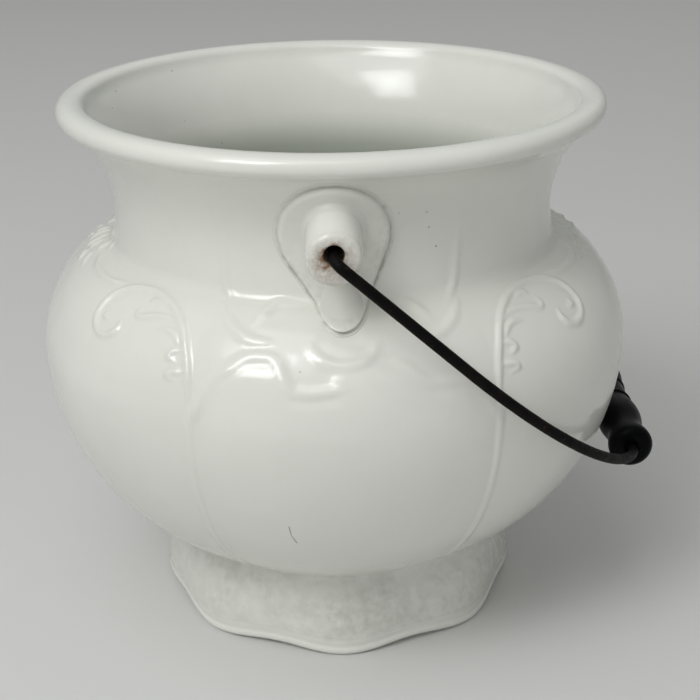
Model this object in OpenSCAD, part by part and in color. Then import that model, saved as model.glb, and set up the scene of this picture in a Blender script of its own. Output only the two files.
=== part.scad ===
// Slop jar: a white ceramic pail with a lobed belly, a scalloped foot and two
// lugs that carry a swinging wire bail with a turned wooden grip.
// Millimetres, +Z up. The origin is on the jar's axis, on the plane it stands on.
// The lugs stand at -Y and +Y, and at rest the bail hangs down on the +X side.

/* [Rim and neck] */
// Height of the jar to the top of the rolled rim
jar_h = 254; // [246:1:268]
// Outer diameter of the rolled rim
rim_d = 254; // [240:1:275]
// Thickness of the rolled rim, from top to bottom
rim_t = 9.4; // [6:0.1:12]
// Width of the rolled rim, from inside to outside
rim_w = 13.6; // [12:0.1:18]
// Outer diameter of the neck at its narrowest
neck_d = 207; // [190:1:220]
// Drop from the top of the rim to the narrowest part of the neck
neck_drop = 51; // [44:1:58]
// How far the neck spreads from its narrowest down to where it leaves the belly
neck_spread = 6.7; // [4:0.1:9]
// Thickness of the ceramic wall
wall = 8; // [6:0.1:10]

/* [Belly] */
// Diameter across opposite lobes where the belly is widest
belly_d = 285; // [270:1:300]
// Height of the widest part of the belly
belly_z = 139; // [132:1:145]
// Radius of the curve below the widest part
belly_low_r = 111; // [105:1:120]
// Radius of the curve above the widest part
belly_high_r = 50; // [47:1:56]
// Depth of the valleys between the lobes
valley_depth = 2.8; // [1:0.1:4]
// Angle from the front lobe to the lobe beside it
lobe_turn = 55.5; // [54:0.5:60]
// Width of the raised rib in each valley
rib_w = 3.6; // [2:0.1:6]
// Height of the raised rib above its valley
rib_h = 1.6; // [0.8:0.1:2.5]
// Height at which each rib rises out of the belly
rib_low_z = 48; // [44:1:70]
// Height at which each rib dies out
rib_high_z = 158; // [145:1:175]

/* [Foot] */
// Height of the foot
foot_h = 39.5; // [36:0.5:44]
// Diameter across opposite scallops of the foot
foot_d = 180; // [168:1:192]
// Number of scallops round the foot
scallops = 8; // [6:2:12]
// Depth of the notches between the scallops where the foot stands
notch_depth = 5; // [1:0.1:7]
// Depth of the notches at the top of the foot
notch_top_depth = 1; // [0:0.1:3]
// Radius of the foot's bulging side
foot_side_r = 71; // [55:1:100]
// Radius of the foot's rounded lower edge
foot_edge_r = 4; // [2:0.5:8]
// Width of the ring that the foot stands on
foot_ring_w = 16; // [12:0.5:20]

/* [Lugs] */
// Width of a lug's backing plate
lug_w = 46; // [40:1:52]
// Width of the plate's rounded lower tip
lug_tip_w = 18; // [12:1:26]
// Drop from the boss to the plate's lower tip
lug_drop = 38; // [34:0.5:41]
// Thickness of the plate
lug_t = 4.5; // [3:0.1:7]
// Diameter of the boss that the wire hooks into
boss_d = 22; // [18:0.5:26]
// Rise from the narrowest part of the neck to the boss
boss_rise = 14.2; // [9:0.1:16]
// Radius of the fillet at the boss's root
boss_fillet = 6; // [3:0.5:9]
// Radius of the boss's rounded outer edge
boss_edge = 3; // [1:0.5:5]
// Diameter of the hole for the wire
bore_d = 8.4; // [7:0.1:10]
// Depth of the hole, which stops inside the boss
bore_depth = 20; // [14:0.5:22]
// Length of the hole that the wire leaves empty
bore_spare = 2; // [1:0.5:4]

/* [Bail] */
// Diameter of the bail's wire
wire_d = 4.8; // [4:0.1:6]
// Radius of the wire's sharp bend at each lug
hook_r = 4.6; // [4:0.1:8]
// Reach of the bail from the lugs' holes to the grip
bail_reach = 187.5; // [180:0.5:205]
// Angle that each side of the bail's bow turns through
bow_turn = 66; // [55:1:75]
// Radius of the bend where the wire enters the grip
grip_bend_r = 12; // [8:0.5:16]

/* [Grip] */
// Length of the grip
grip_l = 113; // [100:1:125]
// Diameter of the grip's straight middle
middle_d = 17.4; // [15:0.1:19]
// Length of the straight middle
middle_l = 15; // [8:0.5:24]
// Diameter of the bead at each end of the middle
bead_d = 19; // [17.5:0.1:21]
// Width of the bead
bead_w = 2.6; // [2:0.1:5]
// Diameter of the swell beside each bead
swell_d = 21; // [19:0.1:24]
// Diameter of the waist between a swell and a knob
waist_d = 17.6; // [14:0.1:19]
// Diameter of the knob at each end of the grip
knob_d = 21; // [19:0.1:25]
// Length of each knob
knob_l = 16; // [12:0.5:22]
// Radius of a knob's rounded outer edge
knob_edge = 4.5; // [2:0.5:6]

/* [Clearances] */
// Gap between the wire and the bottom of a lug's hole
bore_gap = 0.25; // [0.1:0.05:0.6]
// Gap between the wire and the grip's bore
grip_gap = 0.2; // [0.1:0.05:0.5]
// Gap between the grip and the belly with the bail down
rest_gap = 0.4; // [0.3:0.05:1]
// Gap between the wire and the rim with the bail up
rim_gap = 8; // [0.4:0.1:12]
// Gap between the wire's hook and a boss, and its bend and the grip
end_gap = 0.3; // [0.2:0.05:1]

/* [Hidden] */
$fn = 96;

low_steps = 14;       // straight runs in the curve below the belly's widest part
high_steps = 9;       // straight runs in the curve above it
lobe_steps = 9;       // columns across a lobe
scallop_steps = 6;    // columns across a scallop of the foot
arc_steps = 14;       // straight runs in each other large curve of an outline
turn_steps = 8;       // straight runs in each small curve of an outline
wire_steps = 48;      // straight runs round the wire
bend_steps = 240;     // straight runs in a full circle of bent wire
join_swell = 0.06;    // how much thicker the wire is at a join
join_l = 0.6;         // length of a join
rib_flank = 0.75;     // share of a rib's height halfway down its flank
neck_sink = 12;       // how far below the top of the belly the neck starts
swing_tries = 40;     // halvings in the search for the bail's rest
over = 1;             // how far a cut runs past what it cuts
ceramic = [0.86, 0.86, 0.82];
iron = [0.16, 0.13, 0.11];
black_wood = [0.05, 0.05, 0.06];

rim_r = rim_d / 2 - rim_t / 2;
rim_z = jar_h - rim_t / 2;
neck_r = neck_d / 2;
neck_z = jar_h - neck_drop;
boss_z = neck_z + boss_rise;
belly_r = belly_d / 2;
low_axis_r = belly_r - belly_low_r;
high_axis_r = belly_r - belly_high_r;
floor_z = foot_h + wall;
front_edge = lobe_turn / 2;
valley_turns = [-front_edge, front_edge, 90, 180 - front_edge, 180 + front_edge, 270, 360 - front_edge];

// The belly's shoulder ends inside the neck's wall, and the neck starts below that
shoulder_run = neck_r - wall / 2 - high_axis_r;
belly_top_z = belly_z + sqrt(pow(belly_high_r, 2) - pow(shoulder_run, 2));
neck_low_z = belly_top_z - neck_sink;

// The bail's flat outline: its reach runs along X and its legs lie at -Y and +Y
leg_y = rim_d / 2 + wire_d / 2 + rim_gap;
boss_tip_y = leg_y - hook_r - end_gap;
hook_end_y = boss_tip_y - bore_depth + bore_spare;
grip_end_y = grip_l / 2 + end_gap;
bow_r = (leg_y - grip_end_y - grip_bend_r * cos(bow_turn)) / (1 - cos(bow_turn));
leg_end_x = bail_reach - bow_r * sin(bow_turn) - grip_bend_r * (1 - sin(bow_turn));
bow_centre = [leg_end_x, bow_r - leg_y];
bow_end_a = bow_turn - 90;

// The wire hangs in the bottom of the holes, and the bail swings down until a leg, its bow or
// the grip, by its middle or the swells beside that, comes to the belly
hinge_z = boss_z - (bore_d - wire_d) / 2 + bore_gap;
waist_y = grip_l / 2 - knob_l;
swell_y = (middle_l / 2 + bead_w + waist_y) / 2;
swell_room = belly_r - sqrt(pow(belly_r, 2) - pow(swell_y, 2));
touch_r = max(middle_d / 2, swell_d / 2 - swell_room);
feelers = concat(
    [for (i = [1 : turn_steps]) [leg_end_x * i / turn_steps, -leg_y, wire_d / 2]],
    [for (p = arc(bow_centre, bow_r, -90, bow_end_a, arc_steps)) [p[0], p[1], wire_d / 2]],
    [[bail_reach, 0, touch_r + rib_h - valley_depth]]
);
rest_angle = lowest_swing(0, 90, swing_tries);

// Where a point of the bail's flat outline lies when the bail hangs at an angle
function swung(flat, angle) = [flat[0] * cos(angle), flat[1], hinge_z - flat[0] * sin(angle)];

// Gap between a point and the outside of the belly or the foot
function jar_gap(p) =
    let (
        out = norm([p[0], p[1]]),
        up = p[2] - belly_z,
        low_gap = norm([out - low_axis_r, up]) - belly_low_r,
        high_gap = norm([out - high_axis_r, up]) - belly_high_r,
        belly_gap = up < 0 ? low_gap : high_gap
    )
    p[2] < foot_h ? min(belly_gap, out - foot_d / 2) : belly_gap;

// Lowest angle at which every feeler, a place and a radius, keeps its gap from the jar
function lowest_swing(free, blocked, tries) =
    let (
        half = (free + blocked) / 2,
        gap = min([for (f = feelers) jar_gap(swung(f, half)) - f[2]])
    )
    tries == 0 ? free :
    gap < rest_gap ? lowest_swing(free, half, tries - 1) : lowest_swing(half, blocked, tries - 1);

// Points on an arc in an outline, about a centre and from one angle to another
function arc(centre, radius, from, to, steps) =
    [for (i = [0 : steps])
        let (a = from + (to - from) * i / steps)
        centre + radius * [cos(a), sin(a)]];

// A list without its first point, to go on from the end of another list
function after_first(points) = [for (i = [1 : len(points) - 1]) points[i]];

// The belly's side from a height up to inside the neck, grown by an offset
function belly_side(grow, bottom_z) =
    let (
        low_a = asin((bottom_z - belly_z) / (belly_low_r + grow)),
        high_a = asin((belly_top_z - belly_z) / belly_high_r)
    )
    concat(
        arc([low_axis_r, belly_z], belly_low_r + grow, low_a, 0, low_steps),
        after_first(arc([high_axis_r, belly_z], belly_high_r + grow, 0, high_a, high_steps))
    );

// How strongly something shows between two heights, from nothing to all and back
function swelling(z, from, to) = z <= from || z >= to ? 0 : sqrt(sin(180 * (z - from) / (to - from)));

// Skin of rings, each a list of points at one height, closed flat at both ends
module ringed(rings) {
    rows = len(rings);
    columns = len(rings[0]);
    sides = [for (i = [0 : rows - 2], j = [0 : columns - 1])
        let (a = i * columns + j, b = i * columns + (j + 1) % columns)
        each [[a, a + columns, b], [b, a + columns, b + columns]]];
    bottom = [for (j = [0 : columns - 1]) j];
    top = [for (j = [columns - 1 : -1 : 0]) (rows - 1) * columns + j];
    polyhedron([for (ring = rings) each ring], concat(sides, [bottom, top]));
}

// A point at an angle from the front, a radius and a height
function round_point(turn, radius, z) = [radius * sin(turn), -radius * cos(turn), z];

// Columns across one lobe, each an angle, its share of the valley and of the rib
function lobe_columns(from, to) =
    let (
        middle = (from + to) / 2,
        edge = rib_w / 2 / belly_r * 180 / PI,
        plain = [for (i = [0 : lobe_steps]) from + edge + (to - from - 2 * edge) * i / lobe_steps],
        turns = concat([from, from + edge / 2], plain, [to - edge / 2])
    )
    [for (i = [0 : len(turns) - 1])
        [turns[i], pow((turns[i] - middle) / (to - middle), 2), rib_share(i, len(turns))]];

// Share of the rib's height at a lobe's first, second and last columns
function rib_share(i, columns) = i == 0 ? 1 : i == 1 || i == columns - 1 ? rib_flank : 0;

// The belly's outside: lobes that swell between valleys, with a rib in each valley
module belly() {
    columns = [for (i = [1 : len(valley_turns) - 1])
        each lobe_columns(valley_turns[i - 1], valley_turns[i])];
    ringed([for (p = belly_side(0, foot_h))
        let (
            valley = valley_depth * swelling(p[1], foot_h, belly_top_z),
            rib = rib_h * swelling(p[1], rib_low_z, rib_high_z)
        )
        [for (c = columns) round_point(c[0], p[0] - valley * c[1] + rib * c[2], p[1])]]);
}

// Outline of the belly for a plain revolve, grown by an offset
module belly_outline(grow, bottom_z) {
    side = belly_side(grow, bottom_z);
    last = side[len(side) - 1];
    polygon(concat([[0, bottom_z]], side, [[0, last[1]]]));
}

// Radius and turn of an arc that starts upright and leans out by a spread over a rise
function flare(spread, rise) =
    let (radius = (rise * rise + spread * spread) / (2 * spread))
    [radius, atan2(rise, radius - spread)];

// Outline of a neck that flares down into the belly and up to a radius at a height
module neck_outline(narrow_r, end_r, end_z, top_z) {
    low = flare(neck_spread, neck_z - neck_low_z);
    high = flare(end_r - narrow_r, end_z - neck_z);
    side = concat(
        arc([narrow_r + low[0], neck_z], low[0], 180 + low[1], 180, turn_steps),
        after_first(arc([narrow_r + high[0], neck_z], high[0], 180, 180 - high[1], arc_steps))
    );
    polygon(concat([[0, neck_low_z]], side, [[end_r, top_z], [0, top_z]]));
}

// Outline of the rolled rim, flat above and below with round edges
module rim_outline() {
    edge_r = rim_t / 2;
    inner_r = rim_d / 2 - rim_w + edge_r;
    outer = arc([rim_r, rim_z], edge_r, -90, 90, 2 * turn_steps);
    inner = arc([inner_r, rim_z], edge_r, 90, 270, 2 * turn_steps);
    polygon(concat(outer, inner));
}

// The neck's outside, grown by an offset, from inside the belly to under the rim
module neck(grow = 0) {
    rotate_extrude()
        neck_outline(neck_r + grow, rim_r + grow, rim_z - rim_t / 2, rim_z);
}

// Bowl, neck and rolled rim in one piece of ceramic
module jar_body() {
    color(ceramic) {
        difference() {
            union() {
                belly();
                neck();
            }
            rotate_extrude()
                belly_outline(-wall, floor_z);
            rotate_extrude()
                neck_outline(neck_r - wall, rim_d / 2 - rim_w + over / 2, rim_z, jar_h + over);
        }
        rotate_extrude()
            rim_outline();
    }
}

// Hollow foot ring that the bowl is stuck down on
module foot() {
    crest_r = foot_d / 2;
    ring_r = crest_r - foot_edge_r - foot_ring_w;
    side_a = asin((foot_h - foot_edge_r) / foot_side_r);
    edge = arc([crest_r - foot_edge_r, foot_edge_r], foot_edge_r, -90, 0, turn_steps);
    side = arc([crest_r - foot_side_r, foot_edge_r], foot_side_r, 0, side_a, turn_steps);
    outline = concat(edge, after_first(side));
    turns = [for (i = [0 : scallops * scallop_steps - 1]) i * 360 / (scallops * scallop_steps)];
    color(ceramic)
        difference() {
            ringed([for (p = outline)
                [for (turn = turns) round_point(turn, p[0] - notch(turn, p[1]), p[1])]]);
            translate([0, 0, -over])
                cylinder(r = ring_r, h = foot_h + 2 * over);
        }
}

// How far the foot is drawn in at an angle and a height: not on a scallop, most between two
function notch(turn, z) =
    let (
        across = turn * scallops / 360 - round(turn * scallops / 360),
        depth = notch_depth + (notch_top_depth - notch_depth) * z / foot_h
    )
    depth * pow(2 * across, 2);

// Teardrop outline of a lug's plate, round above and drawn to a small tip below
module lug_outline() {
    top_r = lug_w / 2;
    tip_r = lug_tip_w / 2;
    tip_z = boss_z - lug_drop + tip_r;
    lean = asin((top_r - tip_r) / (lug_drop - tip_r));
    top = arc([0, boss_z], top_r, -lean, 180 + lean, 2 * arc_steps);
    tip = arc([0, tip_z], tip_r, 180 + lean, 360 - lean, turn_steps);
    polygon(concat(top, tip));
}

// The boss's outline along its own axis, from inside the neck to its tip
module boss_outline() {
    r = boss_d / 2;
    root_y = neck_r + lug_t;
    fillet = arc([r + boss_fillet, root_y + boss_fillet], boss_fillet, 270, 180, turn_steps);
    edge = arc([r - boss_edge, boss_tip_y - boss_edge], boss_edge, 0, 90, turn_steps);
    foot_y = neck_r - wall / 2;
    polygon(concat([[0, foot_y], [r + boss_fillet, foot_y]], fillet, edge, [[0, boss_tip_y]]));
}

// A lug seated on the neck: a backing plate and a boss with a blind hole
module lug(turn) {
    color(ceramic)
        rotate(turn)
            difference() {
                union() {
                    intersection() {
                        rotate([90, 0, 0])
                            linear_extrude(belly_r)
                                lug_outline();
                        union() {
                            neck(lug_t);
                            rotate_extrude()
                                belly_outline(lug_t, foot_h);
                        }
                    }
                    translate([0, 0, boss_z])
                        rotate([90, 0, 0])
                            rotate_extrude()
                                boss_outline();
                }
                neck();
                belly();
                translate([0, -boss_tip_y + bore_depth, boss_z])
                    rotate([90, 0, 0])
                        cylinder(d = bore_d, h = bore_depth + over);
            }
}

module lug_front() {
    lug(0);
}

module lug_back() {
    lug(180);
}

// A hair's collar round a join, turned along the wire, so that runs and bends are one piece
module join(at, turn) {
    translate([at[0], at[1], 0])
        rotate(turn)
            rotate([0, 90, 0])
                cylinder(d = wire_d + join_swell, h = join_l, center = true, $fn = wire_steps);
}

// A straight run of wire between two points that share an X or a Y
module straight(from, to) {
    run = to - from;
    translate([from[0], from[1], 0])
        rotate(atan2(run[1], run[0]))
            rotate([0, 90, 0])
                cylinder(d = wire_d, h = norm(run), $fn = wire_steps);
}

// A bend of wire about a centre, from one angle through a turn
module bend(centre, radius, from, turn) {
    translate([centre[0], centre[1], 0])
        rotate(from)
            rotate_extrude(angle = turn, $fn = bend_steps)
                translate([radius, 0])
                    circle(d = wire_d, $fn = wire_steps);
}

// Half of the bail's wire, laid flat, from its hook to the grip
module half_bail() {
    bow_end = bow_centre + bow_r * [cos(bow_end_a), sin(bow_end_a)];
    entry_centre = bow_end - grip_bend_r * [cos(bow_end_a), sin(bow_end_a)];
    straight([0, -hook_end_y], [0, hook_r - leg_y]);
    bend([hook_r, hook_r - leg_y], hook_r, 180, 90);
    straight([hook_r, -leg_y], [leg_end_x, -leg_y]);
    bend(bow_centre, bow_r, -90, bow_turn);
    bend(entry_centre, grip_bend_r, bow_end_a, -bow_end_a);
    join([0, hook_r - leg_y], 90);
    join([hook_r, -leg_y], 0);
    join([leg_end_x, -leg_y], 0);
    join(bow_end, bow_turn);
    join([bail_reach, -grip_end_y], 90);
}

// Lays what is drawn flat into the plane of the bail at rest
module in_bail() {
    translate([0, 0, hinge_z])
        rotate([0, rest_angle, 0])
            children();
}

// One length of wire, hooked into both lugs and threaded through the grip
module bail_wire() {
    color(iron)
        in_bail() {
            half_bail();
            mirror([0, 1, 0])
                half_bail();
            straight([bail_reach, -grip_end_y], [bail_reach, grip_end_y]);
        }
}

// Radius that eases from one size to another along a turned piece
function eased(from, to, share) = from + (to - from) * (1 - cos(180 * share)) / 2;

// Half of the grip's outline, from its middle to its end
function half_grip() =
    let (
        half_l = grip_l / 2,
        middle_y = middle_l / 2,
        swell_from = middle_y + bead_w,
        knob_y = half_l - knob_edge,
        steps = [for (i = [1 : turn_steps]) i / turn_steps],
        bead = [for (t = steps)
            [(middle_d + (bead_d - middle_d) * sin(180 * t)) / 2, middle_y + bead_w * t]],
        rise = [for (t = steps)
            [(middle_d + (swell_d - middle_d) * sin(90 * t)) / 2, swell_from + (swell_y - swell_from) * t]],
        fall = [for (t = steps) [eased(swell_d, waist_d, t) / 2, swell_y + (waist_y - swell_y) * t]],
        knob = [for (t = steps) [eased(waist_d, knob_d, t) / 2, waist_y + (knob_y - waist_y) * t]],
        edge = after_first(arc([knob_d / 2 - knob_edge, knob_y], knob_edge, 0, 90, turn_steps))
    )
    concat([[middle_d / 2, 0], [middle_d / 2, middle_y]], bead, rise, fall, knob, edge,
        [[wire_d / 2 + grip_gap, half_l]]);

// Turned wooden grip, free to spin on the wire
module grip() {
    half = half_grip();
    other = [for (i = [len(half) - 1 : -1 : 1]) [half[i][0], -half[i][1]]];
    color(black_wood)
        in_bail()
            translate([bail_reach, 0, 0])
                rotate([90, 0, 0])
                    rotate_extrude()
                        polygon(concat(half, other));
}

jar_body();
foot();
lug_front();
lug_back();
bail_wire();
grip();
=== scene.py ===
"""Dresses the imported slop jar: moulded, glazed ceramic, an iron wire bail and a black turned grip.

Sizes are millimetres until a mesh is made, and metres from then on. A turn is an angle in
degrees round the jar's axis, from the front (-Y) towards +X. A profile's points are radii and
heights, and the points of a stroke are turns and heights.
"""

import logging
import math
from dataclasses import asdict, dataclass, field
from enum import Enum
from functools import reduce
from typing import Any, ClassVar, Sequence

import bpy
import numpy as np
from mathutils import Matrix, Vector


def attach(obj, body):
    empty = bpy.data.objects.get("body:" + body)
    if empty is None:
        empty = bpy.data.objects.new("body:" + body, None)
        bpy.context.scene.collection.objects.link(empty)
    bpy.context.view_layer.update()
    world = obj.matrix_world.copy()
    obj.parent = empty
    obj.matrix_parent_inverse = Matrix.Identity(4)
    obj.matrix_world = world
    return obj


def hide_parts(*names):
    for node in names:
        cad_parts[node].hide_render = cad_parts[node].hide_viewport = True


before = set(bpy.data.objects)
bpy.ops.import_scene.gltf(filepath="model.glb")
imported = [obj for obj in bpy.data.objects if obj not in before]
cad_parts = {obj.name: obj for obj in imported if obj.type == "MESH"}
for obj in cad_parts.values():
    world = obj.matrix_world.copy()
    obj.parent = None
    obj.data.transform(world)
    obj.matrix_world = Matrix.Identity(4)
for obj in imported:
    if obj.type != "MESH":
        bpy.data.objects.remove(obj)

MM = 0.001
log = logging.getLogger("slop_jar")

Point = tuple[float, float]
Place = tuple[float, float, float]
Colour = tuple[float, float, float, float]
Stroke = tuple[Point, ...]
Tree = bpy.types.NodeTree
Node = bpy.types.Node
Socket = bpy.types.NodeSocket
Material = bpy.types.Material
Object = bpy.types.Object


class Body(Enum):
    """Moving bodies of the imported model."""

    JAR = "jar"
    BAIL = "bail"
    GRIP = "grip"


class Slot(Enum):
    """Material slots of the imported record."""

    CERAMIC = "glazed_ceramic"
    WIRE = "iron_wire"
    GRIP = "black_wood"


class Side(Enum):
    """Which side of the jar a lug stands on; the value turns the front one into place."""

    FRONT = 1.0
    BACK = -1.0


@dataclass(frozen=True)
class Moulding:
    """How one kind of moulded line stands on the ceramic.

    Args:
        width: Half of the line's width, in millimetres.
        height: How far it stands off the surface, in millimetres.
        soil: How much grey gathers along its edges, from 0 to 1.
        worn: How unevenly it is worn down, from 0 to 1.
        taper: Share of its length over which it thins at each end.
    """

    width: float
    height: float
    soil: float
    worn: float
    taper: float


class Line(Enum):
    """Kinds of moulded line on the jar."""

    PANEL = Moulding(8.0, 1.2, soil=0.0, worn=0.0, taper=0.0)
    RIB = Moulding(2.4, 0.8, soil=0.06, worn=0.2, taper=0.12)
    CORD = Moulding(2.3, 1.15, soil=0.12, worn=0.15, taper=0.06)
    LEAF = Moulding(1.9, 1.0, soil=0.12, worn=0.2, taper=0.3)
    SWELL = Moulding(3.6, 1.3, soil=0.0, worn=0.1, taper=0.25)
    CREASE = Moulding(2.6, 0.8, soil=0.0, worn=0.1, taper=0.25)
    FOLIAGE = Moulding(2.6, 0.6, soil=0.45, worn=0.9, taper=0.4)


class Graph:
    """Short calls for adding and wiring nodes in one node tree."""

    def __init__(self, tree: Tree) -> None:
        """Keeps the tree that nodes are added to."""
        self.tree = tree

    def feed(self, node: Node, key: Any, value: Any) -> None:
        """Links an output to a node's input, or sets the input to a plain value.

        Args:
            node: The node.
            key: Name or number of its input.
            value: The output or the plain value.
        """
        if isinstance(value, Socket):
            self.tree.links.new(value, node.inputs[key])
        else:
            node.inputs[key].default_value = value

    def add(self, kind: str, inputs: dict[Any, Any] | None = None, **settings: Any) -> Node:
        """Adds a node, sets its properties, and fills or links its inputs.

        Args:
            kind: Type name of the node.
            inputs: Values or output sockets by input name or number.
            settings: Properties of the node.

        Returns:
            The new node.
        """
        node = self.tree.nodes.new(kind)
        for name, value in settings.items():
            setattr(node, name, value)
        for key, value in (inputs or {}).items():
            self.feed(node, key, value)
        return node

    def math(self, operation: str, *values: Any) -> Socket:
        """Adds a Math node for one to three values and returns its output."""
        return self.add("ShaderNodeMath", dict(enumerate(values)), operation=operation).outputs[0]

    def product(self, *values: Any) -> Socket:
        """Multiplies two or more values and returns the result."""
        return reduce(lambda first, second: self.math("MULTIPLY", first, second), values)

    def spread(self, mask: Any, low: Any, rise: Any) -> Socket:
        """Returns a value that is low where a mask is 0 and higher by a rise where it is 1."""
        return self.math("ADD", low, self.product(mask, rise))

    def vector(self, operation: str, first: Any, second: Any) -> Socket:
        """Adds a Vector Math node.

        Args:
            operation: Its operation.
            first: The first vector.
            second: The second vector, or the number that the first is scaled by.

        Returns:
            Its output, which is a number for a distance or a dot product.
        """
        other = "Scale" if operation == "SCALE" else 1
        node = self.add("ShaderNodeVectorMath", {0: first, other: second}, operation=operation)
        return node.outputs["Value" if operation in ("DISTANCE", "DOT_PRODUCT") else "Vector"]

    def remap(
        self, value: Any, low: Any, high: Any, to_low: Any = 0.0, to_high: Any = 1.0
    ) -> Socket:
        """Adds a smooth, clamped Map Range node and returns its output."""
        inputs = {0: value, 1: low, 2: high, 3: to_low, 4: to_high}
        return self.add("ShaderNodeMapRange", inputs, interpolation_type="SMOOTHSTEP").outputs[0]

    def mix(self, share: Any, first: Any, second: Any) -> Socket:
        """Adds a colour Mix node and returns its output."""
        inputs = {0: share, 6: first, 7: second}
        return self.add("ShaderNodeMix", inputs, data_type="RGBA").outputs[2]

    def noise(self, place: Any, scale: Any, detail: float, roughness: float = 0.5) -> Socket:
        """Adds a Noise Texture node and returns its value."""
        inputs = {"Vector": place, "Scale": scale, "Detail": detail, "Roughness": roughness}
        return self.add("ShaderNodeTexNoise", inputs).outputs[0]

    def place(self) -> Socket:
        """Adds a Texture Coordinate node and returns the place on the object."""
        return self.add("ShaderNodeTexCoord").outputs["Object"]

    def attribute(self, name: str) -> Socket:
        """Adds a shader Attribute node and returns its value."""
        return self.add("ShaderNodeAttribute", attribute_name=name).outputs["Fac"]

    def dent(self, surface: Node, height: Any, strength: float, depth: float) -> None:
        """Adds a Bump node of a height, with its depth in metres, to a surface's normal."""
        inputs = {"Strength": strength, "Distance": depth, "Height": height}
        self.feed(surface, "Normal", self.add("ShaderNodeBump", inputs).outputs[0])


def sockets(
    tree: Tree, inputs: dict[str, tuple[str, Any]], outputs: dict[str, str]
) -> tuple[Any, Any]:
    """Gives a node group its named sockets.

    Args:
        tree: The node group.
        inputs: Kind and default value of each input, by name.
        outputs: Kind of each output, by name.

    Returns:
        The outputs of its Group Input node and the inputs of its Group Output node.
    """
    for name, (kind, value) in inputs.items():
        socket = tree.interface.new_socket(name, in_out="INPUT", socket_type=f"NodeSocket{kind}")
        if value is not None:
            socket.default_value = value
    for name, kind in outputs.items():
        tree.interface.new_socket(name, in_out="OUTPUT", socket_type=f"NodeSocket{kind}")
    return tree.nodes.new("NodeGroupInput").outputs, tree.nodes.new("NodeGroupOutput").inputs


def mask_group(name: str, inputs: dict[str, float]) -> tuple[Graph, Any, Any]:
    """Starts a shader group that puts out a mask.

    Args:
        name: Name of the group.
        inputs: Default value of each input, by name.

    Returns:
        The group's graph, what it is given, and where its mask goes.
    """
    tree = bpy.data.node_groups.new(name, "ShaderNodeTree")
    numbers = {title: ("Float", value) for title, value in inputs.items()}
    return Graph(tree), *sockets(tree, numbers, {"Mask": "Float"})


def mottling_group() -> Tree:
    """Makes the shader group for soft, blotchy variation over a surface.

    Returns:
        A group with inputs Scale and Contrast and output Mask.
    """
    graph, given, result = mask_group("mottling", {"Scale": 30.0, "Contrast": 0.3})
    noise = graph.noise(graph.place(), given["Scale"], detail=4.0, roughness=0.6)
    low = graph.math("SUBTRACT", 0.5, given["Contrast"])
    high = graph.math("ADD", 0.5, given["Contrast"])
    graph.tree.links.new(graph.remap(noise, low, high), result["Mask"])
    return graph.tree


def specks_group() -> Tree:
    """Makes the shader group for small scattered specks, pits or chips with ragged edges.

    Returns:
        A group with inputs Scale, Size and Share and output Mask.
    """
    graph, given, result = mask_group("specks", {"Scale": 60.0, "Size": 0.05, "Share": 0.1})
    raggedness, least, core = 0.0009, 0.35, 0.55
    place = graph.place()
    ragged = {"Vector": place, "Scale": 700.0, "Detail": 2.0}
    wobble = graph.add("ShaderNodeTexNoise", ragged).outputs["Color"]
    moved = graph.vector("ADD", place, graph.vector("SCALE", wobble, raggedness))
    scattered = {"Vector": moved, "Scale": given["Scale"], "Randomness": 1.0}
    cells = graph.add("ShaderNodeTexVoronoi", scattered).outputs
    parts = graph.add("ShaderNodeSeparateColor", {0: cells["Color"]}).outputs
    chosen = graph.math("LESS_THAN", parts[0], given["Share"])
    size = graph.product(given["Size"], graph.math("ADD", parts[1], least))
    dot = graph.remap(cells["Distance"], graph.product(size, core), size, 1.0, 0.0)
    graph.tree.links.new(graph.product(dot, chosen), result["Mask"])
    return graph.tree


@dataclass(frozen=True)
class Mottle:
    """Values of one use of the mottling group: blotches a metre, and how sharply they differ."""

    scale: float
    contrast: float


@dataclass(frozen=True)
class Specks:
    """Values of one use of the specks group: cells a metre, a speck's size, and how many show."""

    scale: float
    size: float
    share: float


@dataclass(frozen=True)
class Effects:
    """Shader groups that more than one finish uses."""

    mottling: Tree
    specks: Tree

    def mask(self, graph: Graph, pattern: Mottle | Specks) -> Socket:
        """Places a pattern's group in a material, with the pattern's own values.

        Args:
            graph: The material's graph.
            pattern: The pattern.

        Returns:
            The mask.
        """
        group = self.mottling if isinstance(pattern, Mottle) else self.specks
        values = {name.capitalize(): value for name, value in asdict(pattern).items()}
        return graph.add("ShaderNodeGroup", values, node_tree=group).outputs["Mask"]


def new_material(name: str) -> tuple[Material, Graph, Node]:
    """Makes an empty node material.

    Args:
        name: Name of the material.

    Returns:
        The material, its graph and its Principled BSDF node.
    """
    material = bpy.data.materials.new(name)
    material.use_nodes = True
    return material, Graph(material.node_tree), material.node_tree.nodes["Principled BSDF"]


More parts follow.
